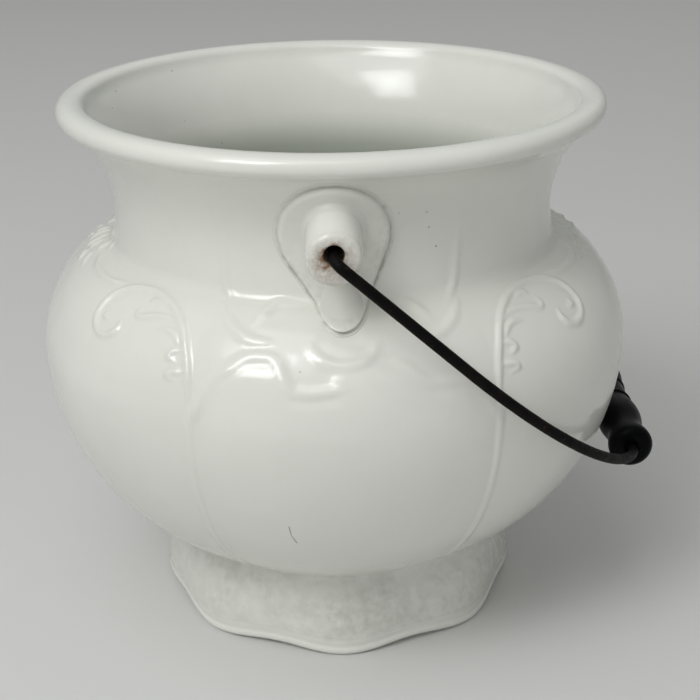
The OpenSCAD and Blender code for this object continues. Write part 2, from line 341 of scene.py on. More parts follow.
@dataclass(frozen=True)
class CeramicGlaze:
    """Glossy white glaze with grey in its creases, painted shade in the bowl, grey round the lugs
    that is partly painted shade, kiln specks, a scratch and rust stains.

    Args:
        white: The clean glaze.
        cool: The glaze where it lies thicker.
        inner: Painted shade in the bowl, darkest just under the neck.
        soil: The grey in creases, on the foot and round the lugs, where it is partly painted shade.
        speck: The specks and the scratch.
        rust: The stain round a lug's hole.
        roughness: Roughness of the clean glaze.
        clouding: Where the glaze lies thicker.
        fine_soil: Fine breaks in the grey.
        soil_patches: Broad patches of the grey.
        rust_runs: Breaks in the rust stain.
        sheen: Where the glaze is a little duller.
        pinholes: Small scattered specks.
        speck_r: Radius of the smallest larger speck, in millimetres.
        speck_step: How much larger each of the next three sizes is.
        specks: Places of the larger kiln specks, in millimetres.
        scratch: Points of the scratch from end to end, in millimetres.
        scratch_core: Half of the width of the scratch's dark core, in millimetres.
        scratch_edge: Half of its whole width, in millimetres.
        speck_core: Share of a larger speck's radius that is darkest.
        speck_strength: How dark its core is, from 0 to 1.
        scratch_strength: How dark the scratch's core is, from 0 to 1.
        pinhole_strength: How dark a small speck is, from 0 to 1.
        patch_least: How strong the grey stays between its patches.
        rust_least: How strong the rust stays between its runs.
        dulling: Roughness that grey and rust add.
        unevenness: Roughness that the sheen adds.
    """

    white: Colour = (0.745, 0.752, 0.695, 1.0)
    cool: Colour = (0.70, 0.715, 0.66, 1.0)
    inner: Colour = (0.42, 0.45, 0.395, 1.0)
    soil: Colour = (0.40, 0.41, 0.36, 1.0)
    speck: Colour = (0.10, 0.085, 0.07, 1.0)
    rust: Colour = (0.22, 0.13, 0.07, 1.0)
    roughness: float = 0.125
    clouding: Mottle = Mottle(14.0, 0.25)
    fine_soil: Mottle = Mottle(210.0, 0.2)
    soil_patches: Mottle = Mottle(34.0, 0.16)
    rust_runs: Mottle = Mottle(420.0, 0.22)
    sheen: Mottle = Mottle(60.0, 0.35)
    pinholes: Specks = Specks(95.0, 0.04, 0.08)
    speck_r: float = 0.42
    speck_step: float = 0.08
    specks: tuple[Place, ...] = (
        (26.5, -104.8, 225.0), (38.1, -100.7, 224.0), (39.2, -97.6, 216.6), (42.5, -94.6, 207.3),
        (-14.4, -132.3, 167.6), (26.9, -135.5, 157.8), (-82.4, 75.8, 247.2), (-105.6, 34.3, 246.1),
        (-75.8, 63.3, 223.8), (-58.3, 75.9, 208.7),
    )
    scratch: tuple[Place, ...] = (
        (-20.8, -131.5, 95.7), (-20.0, -129.0, 89.8), (-17.8, -126.7, 85.0),
    )
    scratch_core: float = 0.12
    scratch_edge: float = 0.48
    speck_core: float = 0.3
    speck_strength: float = 0.7
    scratch_strength: float = 0.65
    pinhole_strength: float = 0.7
    patch_least: float = 0.3
    rust_least: float = 0.25
    dulling: float = 0.3
    unevenness: float = 0.06

    def spots(self, graph: Graph, place: Socket) -> Socket:
        """Draws the larger specks.

        Args:
            graph: The glaze's graph.
            place: The place on the object.

        Returns:
            Their mask.
        """
        mask: Any = 0.0
        for number, speck in enumerate(self.specks):
            away = graph.vector("DISTANCE", place, Vector(speck) * MM)
            size = (self.speck_r + self.speck_step * (number % 4)) * MM
            spot = graph.remap(away, self.speck_core * size, size, self.speck_strength, 0.0)
            mask = graph.math("MAXIMUM", mask, spot)
        return mask

    def scrape(self, graph: Graph, place: Socket) -> Socket:
        """Draws the scratch, a thin bent line through its points.

        Args:
            graph: The glaze's graph.
            place: The place on the object.

        Returns:
            Its mask.
        """
        core, edge = self.scratch_core * MM, self.scratch_edge * MM
        mask: Any = 0.0
        for start, end in zip(self.scratch, self.scratch[1:]):
            first = Vector(start) * MM
            run = Vector(end) * MM - first
            off = graph.vector("SUBTRACT", place, first)
            along = graph.vector("DOT_PRODUCT", off, run / run.length_squared)
            share = graph.math("MINIMUM", graph.math("MAXIMUM", along, 0.0), 1.0)
            away = graph.vector("DISTANCE", off, graph.vector("SCALE", run, share))
            line = graph.remap(away, core, edge, self.scratch_strength, 0.0)
            mask = graph.math("MAXIMUM", mask, line)
        return mask

    def material(self, effects: Effects) -> Material:
        """Builds the glaze.

        Args:
            effects: The shared shader groups.

        Returns:
            The material.
        """
        material, graph, surface = new_material("white_glaze")
        place = graph.place()
        soil, stain = graph.attribute("soil"), graph.attribute("stain")
        clean = graph.mix(effects.mask(graph, self.clouding), self.white, self.cool)
        # Painted shade in the bowl: the glaze is darkened inside, most just under the neck.
        base = graph.mix(graph.attribute("inside"), clean, self.inner)
        fine = graph.spread(effects.mask(graph, self.fine_soil), low=0.2, rise=0.65)
        patches = graph.math("ADD", self.patch_least, effects.mask(graph, self.soil_patches))
        # Grey in creases and on the foot; round the lugs it is partly grime and partly painted
        # shade.
        soiled = graph.mix(graph.product(soil, graph.product(fine, patches)), base, self.soil)
        runs = graph.math("ADD", self.rust_least, effects.mask(graph, self.rust_runs))
        stained = graph.mix(graph.product(stain, runs), soiled, self.rust)
        marks = graph.math("MAXIMUM", self.spots(graph, place), self.scrape(graph, place))
        pinholes = graph.product(effects.mask(graph, self.pinholes), self.pinhole_strength)
        specked = graph.mix(graph.math("MAXIMUM", pinholes, marks), stained, self.speck)
        graph.feed(surface, "Base Color", specked)
        dull = graph.product(graph.math("MAXIMUM", soil, stain), self.dulling)
        uneven = graph.product(effects.mask(graph, self.sheen), self.unevenness)
        rough = graph.math("ADD", self.roughness, graph.math("ADD", dull, uneven))
        graph.feed(surface, "Roughness", rough)
        graph.feed(surface, "IOR", 1.5)
        ripple = graph.noise(place, scale=38.0, detail=2.0)
        graph.dent(surface, ripple, strength=0.12, depth=0.002)
        return material


@dataclass(frozen=True)
class OxidisedIron:
    """Iron wire with a near-black oxide skin that goes brown with rust and is pitted by it."""

    dark: Colour = (0.0018, 0.0017, 0.0017, 1.0)
    brown: Colour = (0.0055, 0.0044, 0.004, 1.0)
    rust: Colour = (0.022, 0.014, 0.010, 1.0)
    browning: Mottle = Mottle(160.0, 0.3)
    sheen: Mottle = Mottle(260.0, 0.3)
    crust: Mottle = Mottle(700.0, 0.4)
    pits: Specks = Specks(420.0, 0.36, 0.2)
    pit_rust: float = 0.6
    specular: float = 0.08

    def material(self, effects: Effects) -> Material:
        """Builds the iron.

        Args:
            effects: The shared shader groups.

        Returns:
            The material.
        """
        material, graph, surface = new_material("oxidised_iron")
        base = graph.mix(effects.mask(graph, self.browning), self.dark, self.brown)
        pits = effects.mask(graph, self.pits)
        rusted = graph.mix(graph.product(pits, self.pit_rust), base, self.rust)
        graph.feed(surface, "Base Color", rusted)
        rough = graph.spread(effects.mask(graph, self.sheen), low=0.42, rise=0.25)
        graph.feed(surface, "Roughness", rough)
        graph.feed(surface, "Specular IOR Level", self.specular)
        height = graph.math("SUBTRACT", effects.mask(graph, self.crust), pits)
        graph.dent(surface, height, strength=0.35, depth=0.0006)
        return material


@dataclass(frozen=True)
class BlackPaint:
    """Old black paint on turned wood, rubbed thin on the crests and chipped here and there."""

    black: Colour = (0.0012, 0.0014, 0.0018, 1.0)
    rubbed: Colour = (0.004, 0.004, 0.0045, 1.0)
    wood: Colour = (0.018, 0.013, 0.010, 1.0)
    rubbing: Mottle = Mottle(120.0, 0.3)
    sheen: Mottle = Mottle(90.0, 0.3)
    chips: Specks = Specks(170.0, 0.16, 0.12)
    chip_depth: float = 0.7
    grain: Place = (4.0, 0.35, 4.0)
    specular: float = 0.06

    def material(self, effects: Effects) -> Material:
        """Builds the paint.

        Args:
            effects: The shared shader groups.

        Returns:
            The material.
        """
        material, graph, surface = new_material("black_paint")
        wear = graph.attribute("wear")
        thin = graph.product(wear, effects.mask(graph, self.rubbing))
        painted = graph.mix(thin, self.black, self.rubbed)
        chips = effects.mask(graph, self.chips)
        graph.feed(surface, "Base Color", graph.mix(graph.product(chips, wear), painted, self.wood))
        rough = graph.spread(effects.mask(graph, self.sheen), low=0.26, rise=0.2)
        graph.feed(surface, "Roughness", rough)
        graph.feed(surface, "Specular IOR Level", self.specular)
        drawn = {"Vector": graph.place(), "Scale": self.grain}
        along = graph.add("ShaderNodeMapping", drawn).outputs[0]
        grain = graph.noise(along, scale=90.0, detail=5.0, roughness=0.65)
        height = graph.math("SUBTRACT", grain, graph.product(chips, self.chip_depth))
        graph.dent(surface, height, strength=0.22, depth=0.0008)
        return material


def linked(name: str, data: bpy.types.ID) -> Object:
    """Makes an object and links it into the scene.

    Args:
        name: Name of the object.
        data: Its mesh, curve, lamp or camera.

    Returns:
        The object.
    """
    made = bpy.data.objects.new(name, data)
    bpy.context.scene.collection.objects.link(made)
    return made


def mark(mesh: bpy.types.Mesh, name: str, values: np.ndarray) -> None:
    """Stores one number a point in a mesh, under a name."""
    attribute = mesh.attributes.new(name, "FLOAT", "POINT")
    attribute.data.foreach_set("value", np.asarray(values, np.float32))


def ring_faces(first: int, count: int, second: int, other: int) -> list[tuple[int, ...]]:
    """Weaves faces between two rings of points, a pole being a ring of one.

    Args:
        first: Number of the first ring's first point.
        count: Points in the first ring.
        second: Number of the second ring's first point.
        other: Points in the second ring: as many, half or twice as many, or one.

    Returns:
        The faces, which point outwards where rings rise and points run anticlockwise.
    """
    if count == 1:
        return [(first, second + (j + 1) % other, second + j) for j in range(other)]
    if other == 1:
        return [(first + j, first + (j + 1) % count, second) for j in range(count)]
    if count == other:
        steps = [(j, (j + 1) % count) for j in range(count)]
        return [(first + j, first + k, second + k, second + j) for j, k in steps]
    if count < other:
        return [face[::-1] for face in ring_faces(second, other, first, count)]
    faces = []
    for k in range(other):
        a, b, c = first + 2 * k, first + 2 * k + 1, first + (2 * k + 2) % count
        d, e = second + k, second + (k + 1) % other
        faces += [(a, b, d), (b, e, d), (b, c, e)]
    return faces


@dataclass
class Rings:
    """Rings of points to be woven into one smooth mesh, with named numbers for each point."""

    marks: tuple[str, ...]
    points: list[np.ndarray] = field(default_factory=list)
    values: dict[str, list[np.ndarray]] = field(default_factory=dict)

    def add(self, points: np.ndarray, **marks: Any) -> None:
        """Adds a ring, or a pole of one point.

        Args:
            points: Its points.
            marks: Its named numbers, one for all points or one a point; 0 if not given.
        """
        self.points.append(points)
        for name in self.marks:
            numbers = np.broadcast_to(marks.get(name, 0.0), len(points))
            self.values.setdefault(name, []).append(numbers)

    def weave(self, name: str, closed: bool = False) -> Object:
        """Weaves the rings.

        Args:
            name: Name of the new object.
            closed: Whether the last ring joins the first.

        Returns:
            The new object, at the origin.
        """
        sizes = [len(ring) for ring in self.points]
        starts = np.cumsum([0] + sizes).tolist()
        order = list(range(len(sizes))) + [0] * closed
        faces: list[tuple[int, ...]] = []
        for i, j in zip(order, order[1:]):
            faces += ring_faces(starts[i], sizes[i], starts[j], sizes[j])
        mesh = bpy.data.meshes.new(name)
        mesh.from_pydata((np.vstack(self.points) * MM).tolist(), [], faces)
        mesh.shade_smooth()
        for title, values in self.values.items():
            mark(mesh, title, np.concatenate(values))
        return linked(name, mesh)


def evaluated_mesh(piece: Object) -> bpy.types.Mesh:
    """Works out what an object's modifiers make of it.

    Args:
        piece: The object.

    Returns:
        The result, as a plain mesh.
    """
    graph = bpy.context.evaluated_depsgraph_get()
    made = piece.evaluated_get(graph)
    return bpy.data.meshes.new_from_object(made, preserve_all_data_layers=True, depsgraph=graph)


def node_modifier(piece: Object, tree: Tree, values: dict[str, Any]) -> None:
    """Adds a Geometry Nodes modifier with its named inputs set.

    Args:
        piece: The object that gets it.
        tree: The Geometry Nodes tree.
        values: Value of each input by its name.
    """
    modifier = piece.modifiers.new(tree.name, "NODES")
    modifier.node_group = tree
    items = tree.interface.items_tree
    names = {item.name: item.identifier for item in items if item.in_out == "INPUT"}
    for name, value in values.items():
        modifier[names[name]] = value


class ShapeGraph(Graph):
    """Short calls for a Geometry Nodes tree that ends in plain, dressed geometry."""

    def __init__(self, name: str, inputs: dict[str, tuple[str, Any]]) -> None:
        """Makes the tree.

        Args:
            name: Name of the tree.
            inputs: Kind and default value of each input besides Geometry and Material.
        """
        super().__init__(bpy.data.node_groups.new(name, "GeometryNodeTree"))
        every = {"Geometry": ("Geometry", None)} | inputs | {"Material": ("Material", None)}
        self.given, self.result = sockets(self.tree, every, {"Geometry": "Geometry"})

    def named(self, name: str) -> Socket:
        """Returns a number that the geometry's points carry under a name."""
        node = self.add("GeometryNodeInputNamedAttribute", {"Name": name}, data_type="FLOAT")
        return node.outputs[0]

    def position(self) -> Socket:
        """Returns the places of the geometry's points."""
        return self.add("GeometryNodeInputPosition").outputs[0]

    def pushed(self, geometry: Socket, distance: Socket) -> Socket:
        """Moves points along their normals.

        Args:
            geometry: The geometry.
            distance: How far its points move, in metres.

        Returns:
            The moved geometry.
        """
        normal = self.add("GeometryNodeInputNormal").outputs[0]
        inputs = {0: geometry, "Offset": self.vector("SCALE", normal, distance)}
        return self.add("GeometryNodeSetPosition", inputs).outputs[0]

    def finish(self, geometry: Socket) -> Tree:
        """Realizes the geometry and gives it the material.

        Args:
            geometry: The geometry.

        Returns:
            The finished tree.
        """
        whole = self.add("GeometryNodeRealizeInstances", {0: geometry}).outputs[0]
        inputs = {0: whole, "Material": self.given["Material"]}
        dressed = self.add("GeometryNodeSetMaterial", inputs).outputs[0]
        self.tree.links.new(dressed, self.result["Geometry"])
        return self.tree


def moulding_tree() -> Tree:
    """Makes the Geometry Nodes tree that raises a surface along guide lines and soils their edges.

    Returns:
        A tree with inputs Guide, Width, Height, Soil, Worn and Material.
    """
    inputs = {
        "Guide": ("Object", None),
        "Width": ("Float", 0.002),
        "Height": ("Float", 0.001),
        "Soil": ("Float", 0.0),
        "Worn": ("Float", 0.0),
    }
    graph = ShapeGraph("moulded_line", inputs)
    roundness, soil_from, soil_to = 1.6, 0.4, 2.0
    given = graph.given
    guide = graph.add("GeometryNodeObjectInfo", {"Object": given["Guide"]}).outputs["Geometry"]
    closest = graph.add("GeometryNodeProximity", {0: guide}, target_element="EDGES")
    near = closest.outputs["Distance"]
    nearest = graph.add("GeometryNodeSampleNearest", {0: guide}, domain="POINT").outputs[0]
    sampled = {0: guide, "Value": graph.named("share"), "Index": nearest}
    share = graph.add("GeometryNodeSampleIndex", sampled).outputs[0]
    width = graph.product(given["Width"], graph.spread(share, low=0.4, rise=0.6))
    noise = graph.noise(graph.position(), scale=160.0, detail=2.0)
    worn = graph.product(given["Worn"], graph.remap(noise, low=0.35, high=0.65))
    kept = graph.math("SUBTRACT", 1.0, worn)
    strength = graph.product(share, graph.named("outer"), kept)
    across = graph.math("MINIMUM", graph.math("DIVIDE", near, width), 1.0)
    crowned = graph.math("SUBTRACT", 1.0, graph.product(across, across))
    rise = graph.product(graph.math("POWER", crowned, roundness), given["Height"], strength)
    raised = graph.pushed(given["Geometry"], rise)
    into = graph.remap(near, graph.product(width, soil_from), width)
    out_of = graph.remap(near, width, graph.product(width, soil_to), 1.0, 0.0)
    edge = graph.product(into, out_of, graph.product(given["Soil"], strength))
    soil = graph.math("MAXIMUM", graph.named("soil"), edge)
    stored = {0: raised, "Name": "soil", "Value": soil}
    soiled = graph.add("GeometryNodeStoreNamedAttribute", stored, domain="POINT").outputs[0]
    return graph.finish(soiled)


def wire_tree() -> Tree:
    """Makes the Geometry Nodes tree that sweeps a round, slightly uneven wire along a curve.

    Returns:
        A tree with inputs Radius, Steps, Unevenness and Material.
    """
    inputs = {"Radius": ("Float", 0.0024), "Steps": ("Int", 24), "Unevenness": ("Float", 0.0)}
    graph = ShapeGraph("swept_wire", inputs)
    highest = 0.75
    given = graph.given
    circle = {"Resolution": given["Steps"], "Radius": given["Radius"]}
    section = graph.add("GeometryNodeCurvePrimitiveCircle", circle).outputs[0]
    sweep = {0: given["Geometry"], 1: section, "Fill Caps": True}
    swept = graph.add("GeometryNodeCurveToMesh", sweep).outputs[0]
    noise = graph.noise(graph.position(), scale=220.0, detail=3.0)
    dent = graph.product(graph.math("SUBTRACT", noise, highest), given["Unevenness"])
    dented = graph.pushed(swept, dent)
    return graph.finish(graph.add("GeometryNodeSetShadeSmooth", {0: dented}).outputs[0])


@dataclass(frozen=True)
class Arc:
    """Part of a profile: an arc about a centre, between two angles, with its number of rows."""

    centre: Point
    radius: float
    start: float
    end: float
    rows: int

    def points(self) -> np.ndarray:
        """Lays out the arc.

        Returns:
            Its points, from start to end.
        """
        angles = np.radians(np.linspace(self.start, self.end, self.rows + 1))
        spokes = np.column_stack((np.cos(angles), np.sin(angles)))
        return np.array(self.centre) + self.radius * spokes


def onward(arcs: Sequence[Arc]) -> np.ndarray:
    """Returns the points of arcs that each run on from the last, without the very first."""
    return np.vstack([arc.points()[1:] for arc in arcs])


def angle_to(centre: Point, target: Point) -> float:
    """Returns the angle, in degrees from 0 to 360, from a centre to a point of a profile."""
    return math.degrees(math.atan2(target[1] - centre[1], target[0] - centre[0])) % 360


def meeting(first: Point, first_r: float, second: Point, second_r: float, side: float) -> Point:
    """Finds where two circles meet.

    Args:
        first: Centre of the first circle.
        first_r: Its radius.
        second: Centre of the second circle.
        second_r: Its radius.
        side: 1 for the meeting point left of the line from first to second, -1 for the other.

    Returns:
        The point.
    """
    span = math.dist(first, second)
    along = (first_r**2 - second_r**2 + span**2) / (2 * span)
    off = side * math.sqrt(first_r**2 - along**2)
    ux, uz = (second[0] - first[0]) / span, (second[1] - first[1]) / span
    return first[0] + along * ux - off * uz, first[1] + along * uz + off * ux


def round_points(turns: np.ndarray, radii: Any, heights: Any) -> np.ndarray:
    """Places points round the jar's axis.

    Args:
        turns: Their turns.
        radii: Their radii, or one for all.
        heights: Their heights, or one for all.

    Returns:
        The points.
    """
    angles = np.radians(turns)
    level = np.broadcast_to(heights, angles.shape)
    return np.column_stack((radii * np.sin(angles), -radii * np.cos(angles), level))


def swelling(heights: Any, low: float, high: float) -> np.ndarray:
    """Returns how strongly a form shows at each height: none at low and high, most between."""
    share = np.clip((np.asarray(heights, float) - low) / (high - low), 0.0, 1.0)
    return np.sqrt(np.sin(np.pi * share))


def flowing(stroke: Stroke, step: float = 0.12) -> np.ndarray:
    """Draws a smooth curve through the points of a stroke.

    Args:
        stroke: The points.
        step: Share of each stretch between samples.

    Returns:
        The curve's points.
    """
    if len(stroke) < 3:
        return np.array(stroke, float)
    knots = np.array([stroke[0], *stroke, stroke[-1]], float)
    curve = []
    for i in range(1, len(knots) - 2):
        a, b, c, d = knots[i - 1 : i + 3]
        pull, bend, twist = c - a, 2 * a - 5 * b + 4 * c - d, 3 * b - a - 3 * c + d
        for t in np.arange(0.0, 1.0, step):
            curve.append(0.5 * (2 * b + pull * t + bend * t**2 + twist * t**3))
    return np.array(curve + [knots[-2]])


@dataclass
class Guide:
    """Lines on a surface that one kind of moulding follows, gathered into one edge mesh."""

    line: Line
    points: list[np.ndarray] = field(default_factory=list)
    shares: list[np.ndarray] = field(default_factory=list)
    tip: ClassVar[float] = 0.2

    def draw(self, points: np.ndarray, share: Any = 1.0, taper: float | None = None) -> None:
        """Adds a line of a surface, which thins towards a tip at each end.

        Args:
            points: Its points, in millimetres.
            share: How strongly the line or each of its points shows.
            taper: Share of its length that thins, where it isn't that of its kind.
        """
        thinning = self.line.value.taper if taper is None else taper
        along = np.linspace(0.0, 1.0, len(points))
        shown = np.ones(len(points))
        if thinning:
            ends = np.minimum(along, 1.0 - along)
            shown = np.clip(self.tip + (1.0 - self.tip) * ends / thinning, 0.0, 1.0)
        self.points.append(points)
        self.shares.append(share * shown)

    def build(self) -> Object:
        """Gathers the lines into an object of loose edges.

        Returns:
            The object, whose points carry their share.
        """
        edges: list[tuple[int, int]] = []
        start = 0
        for line in self.points:
            edges += [(start + i, start + i + 1) for i in range(len(line) - 1)]
            start += len(line)
        mesh = bpy.data.meshes.new(self.line.name.lower())
        mesh.from_pydata((np.vstack(self.points) * MM).tolist(), edges, [])
        mark(mesh, "share", np.concatenate(self.shares))
        return linked(mesh.name, mesh)


def mould(piece: Object, guides: Sequence[Guide], tree: Tree, finish: Material) -> None:
    """Raises a piece along its guides and turns it into a plain mesh.

    Args:
        piece: The piece.
        guides: Guide lines of each kind of moulding, in the order in which they are raised.
        tree: The moulding's Geometry Nodes tree.
        finish: The material of the piece.
    """
    helpers = [guide.build() for guide in guides]
    for guide, helper in zip(guides, helpers):
        look = guide.line.value
        values = {"Guide": helper, "Width": look.width * MM, "Height": look.height * MM}
        values |= {"Soil": look.soil, "Worn": look.worn, "Material": finish}
        node_modifier(piece, tree, values)
    made = evaluated_mesh(piece)
    piece.modifiers.clear()
    piece.data = made
    made.name = piece.name
    for helper in helpers:
        bpy.data.objects.remove(helper)


def settle(piece: Object, body: Body, node: str) -> Object:
    """Makes a piece ride on its body and stand for its solid.

    Args:
        piece: The finished piece.
        body: The body it rides on.
        node: The solid that it replaces.

    Returns:
        The piece.
    """
    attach(piece, body.value)
    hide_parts(node)
    return piece


class MouldedCeramic:
    """A ceramic piece whose plain skin is raised along guide lines."""

    node: ClassVar[str]

    def skin(self) -> Object:
        """Weaves the plain piece and returns it."""
        raise NotImplementedError

    def guides(self) -> list[Guide]:
        """Returns the guide lines of each kind of moulding, in order."""
        raise NotImplementedError

    def build(self, tree: Tree, finish: Material) -> Object:
        """Builds the piece and puts it in place of its solid.

        Args:
            tree: The moulding's Geometry Nodes tree.
            finish: The glaze.

        Returns:
            The finished piece.
        """
        piece = self.skin()
        mould(piece, self.guides(), tree, finish)
        return settle(piece, Body.JAR, self.node)


@dataclass
class JarBody(MouldedCeramic):
    """Bowl, neck and rolled rim, with the moulded ribs, scrolls and panels of the belly."""

    node: ClassVar[str] = "jar_body"

    # Rim, neck and wall
    rim_r: float = 122.3
    rim_inner_r: float = 118.1
    rim_z: float = 249.05
    lip_r: float = 4.65
    crown_a: float = 12.0
    neck_r: float = 103.5
    neck_z: float = 203.0
    neck_curve_r: float = 55.6
    inner_curve_r: float = 67.5
    wall: float = 8.0
    shoulder_fillet: float = 7.0
    lip_fillet: float = 30.0
    throat_fillet: float = 20.0

    # Belly, with close rows of points above an angle, where its moulding is finest
    belly_r: float = 142.2
    belly_z: float = 139.0
    belly_low_r: float = 111.0
    belly_high_r: float = 50.0
    belly_top_z: float = 188.5
    close_a: float = 13.0
    valley_depth: float = 2.8
    lobe_turn: float = 55.5
    twist: float = 1.6

    # Underside and the bowl's floor, and the painted shade in the bowl that is strongest under the
    # neck
    foot_h: float = 39.5
    base_rings: tuple[float, ...] = (20.0, 45.0, 68.0)
    floor_z: float = 47.5
    floor_ring: float = 40.0
    stain_top_z: float = 218.0
    stain_fade: float = 17.0
    stain_floor: float = 0.3

    # Ribs, and the pillow that swells under each arch
    rib_low_z: float = 48.0
    rib_high_z: float = 156.0
    rib_points: int = 90
    panel_low_z: float = 146.0
    panel_full_z: float = 164.0
    panel_start: float = 6.0
    panel_inset: float = 7.0
    panel_lines: int = 31
    panel_step: float = 0.8
    panel_points: int = 30
    arch_taper: float = 0.08

    # Columns of points round half of the jar: from a turn, to a turn, and how many
    spacing: tuple[tuple[float, float, int], ...] = (
        (0, 25, 32), (25, 60, 98), (60, 72, 16), (72, 108, 88), (108, 120, 16), (120, 155, 98),
        (155, 180, 32),
    )

    # Strokes of the ornament, whose turns count from a valley
    scroll: Stroke = (
        (0, 150), (0.4, 158), (1.2, 165), (2.4, 170.5), (3.6, 174.5), (5.2, 178), (7.8, 181.2),
        (11.5, 183.4), (15.8, 184.5), (19.8, 184.5), (23.2, 183.6), (25.6, 181.8), (27, 179.2),
        (27.5, 176), (27.2, 172.6), (26, 169.6), (24.2, 167.7), (22.2, 167.3), (20.4, 168.6),
        (19.5, 171.4), (19.8, 173.8),
    )
    leaves: tuple[Stroke, ...] = (
        ((16.4, 179.6), (16.9, 177.9), (15.6, 176.9), (13.4, 178), (10.5, 178.9), (7.8, 178.6),
         (5.1, 176.2)),
        ((9.6, 175), (7.4, 175.5), (5.4, 174.1), (4.2, 171.4)),
        ((15.6, 181.7), (14.3, 182.6), (11.7, 182)),
        ((24.3, 175.3), (24.5, 173.4), (22.8, 173.4)),
        ((24.4, 178.2), (23, 179.4)),
        ((2.6, 169.5), (4.6, 169.3), (5.4, 167.2), (3.8, 165.3)),
        ((1.2, 162), (3.2, 162), (4.7, 160.2), (3.1, 158.6)),
    )
    sprig: tuple[Stroke, ...] = (
        ((38.5, 184), (35, 183.4), (30, 182.5), (24, 182.4), (18.5, 183), (14.5, 184.6)),
        ((12.7, 188.4), (13.6, 187.2), (14.3, 186.2)),
        ((9.3, 182.9), (11.5, 181.5), (13.8, 179.4)),
        ((5.2, 181.2), (7, 180.2), (8.5, 178.4)),
        ((4.4, 185.6), (5.6, 183.8), (5.8, 182.2)),
        ((1.5, 186.2), (2.4, 184), (2.2, 180.8)),
        ((9.3, 187.2), (10.4, 185.6), (10.2, 184.2)),
    )

    # Strokes of the ornament, whose turns count from the middle of the front or the back
    left_arch: Stroke = (
        (26.4, 144), (26.2, 147), (25.4, 153.7), (23.4, 161), (20.8, 166.5), (18, 170.6),
        (14.9, 171.8), (12.7, 171.1), (11.3, 168), (10.3, 164), (9.3, 160.9), (6.5, 159.8),
        (3, 160.6), (0, 161.6),
    )
    right_arch: Stroke = (
        (27.2, 141), (26.6, 146), (24.9, 151), (22.8, 156.6), (20.6, 159.5), (17.5, 160.6),
        (15, 161.8), (12.6, 165.4), (10.5, 169.2), (8.2, 170.4),
    )
    right_share: float = 0.7
    swells: tuple[Stroke, ...] = (
        ((17.8, 181.4), (16.8, 183.6), (15.3, 185.8), (13.5, 186.8), (9.6, 186.8)),
        ((26, 185), (23.4, 181.6), (21.7, 179.5), (18.2, 176.8), (13.5, 176.4)),
    )
    crescent: Stroke = (
        (8.0, 176.4), (6.0, 171.8), (3.1, 169.8), (0.1, 169.6), (-2.8, 171.8), (-4.8, 176.4),
    )
    neck_crease: Stroke = (
        (28, 214), (28.2, 205), (27.9, 197), (27.2, 191), (25.6, 187), (23, 184.6),
    )

    def profile(self) -> tuple[list[Arc], list[Arc], list[Arc]]:
        """Lays out the wall's section as arcs.

        Returns:
            The arcs of the belly's outside, of the neck and rim, and of the inside to the floor.
        """
        low = (self.belly_r - self.belly_low_r, self.belly_z)
        high = (self.belly_r - self.belly_high_r, self.belly_z)
        neck = (self.neck_r + self.neck_curve_r, self.neck_z)
        inner = (self.neck_r - self.wall + self.inner_curve_r, self.neck_z)
        outer_lip, inner_lip = (self.rim_r, self.rim_z), (self.rim_inner_r, self.rim_z)
        soft, wide, deep = self.shoulder_fillet, self.lip_fillet, self.throat_fillet
        shoulder = meeting(high, self.belly_high_r + soft, neck, self.neck_curve_r - soft, 1.0)
        under = meeting(outer_lip, self.lip_r + wide, neck, self.neck_curve_r - wide, -1.0)
        throat = meeting(inner_lip, self.lip_r + deep, inner, self.inner_curve_r + deep, -1.0)
        crown_a = math.radians(self.crown_a)
        crown_r = (self.rim_r - self.rim_inner_r) / 2 / math.sin(crown_a)
        middle_r = (self.rim_r + self.rim_inner_r) / 2
        crown = (middle_r, self.rim_z - crown_r * math.cos(crown_a))
        crown_end, crown_start = 90.0 - self.crown_a, 90.0 + self.crown_a
        bottom = math.degrees(math.asin((self.foot_h - self.belly_z) / self.belly_low_r))
        top, neck_low, neck_high = (
            angle_to(high, shoulder), angle_to(neck, shoulder), angle_to(neck, under),
        )
        belly = [
            Arc(low, self.belly_low_r, bottom, 0.0, rows=18),
            Arc(high, self.belly_high_r, 0.0, self.close_a, rows=5),
            Arc(high, self.belly_high_r, self.close_a, top, rows=56),
            Arc(shoulder, soft, top + 180.0, neck_low, rows=7),
        ]
        lip_start = angle_to(outer_lip, under) - 360.0
        rim = [
            Arc(neck, self.neck_curve_r, neck_low, neck_high, rows=16),
            Arc(under, wide, neck_high, angle_to(under, outer_lip), rows=8),
            Arc(outer_lip, self.lip_r, lip_start, crown_end, rows=12),
            Arc(crown, crown_r + self.lip_r, crown_end, crown_start, rows=4),
            Arc(inner_lip, self.lip_r, crown_start, angle_to(inner_lip, throat), rows=6),
            Arc(throat, deep, angle_to(throat, inner_lip), angle_to(throat, inner), rows=7),
        ]
        cavity_low, cavity_high = self.belly_low_r - self.wall, self.belly_high_r - self.wall
        corner = meeting(high, cavity_high, inner, self.inner_curve_r, 1.0)
        floor_a = math.degrees(math.asin((self.floor_z - self.belly_z) / cavity_low))
        throat_a, corner_a = angle_to(inner, throat), angle_to(inner, corner)
        inside = [
            Arc(inner, self.inner_curve_r, throat_a, corner_a, rows=12),
            Arc(high, cavity_high, angle_to(high, corner), 0.0, rows=7),
            Arc(low, cavity_low, 0.0, floor_a, rows=10),
        ]
        return belly, rim, inside

    def outside(self) -> np.ndarray:
        """Returns the outside's section from the foot to under the lip."""
        belly, rim, _ = self.profile()
        return np.vstack([arc.points() for arc in belly + rim[:2]])

    def valleys(self) -> np.ndarray:
        """Returns the turns of the valleys between lobes, untwisted, from left of the front."""
        half = self.lobe_turn / 2
        return np.array([-half, half, 90.0, 180.0 - half, 180.0 + half, 270.0, 360.0 - half])

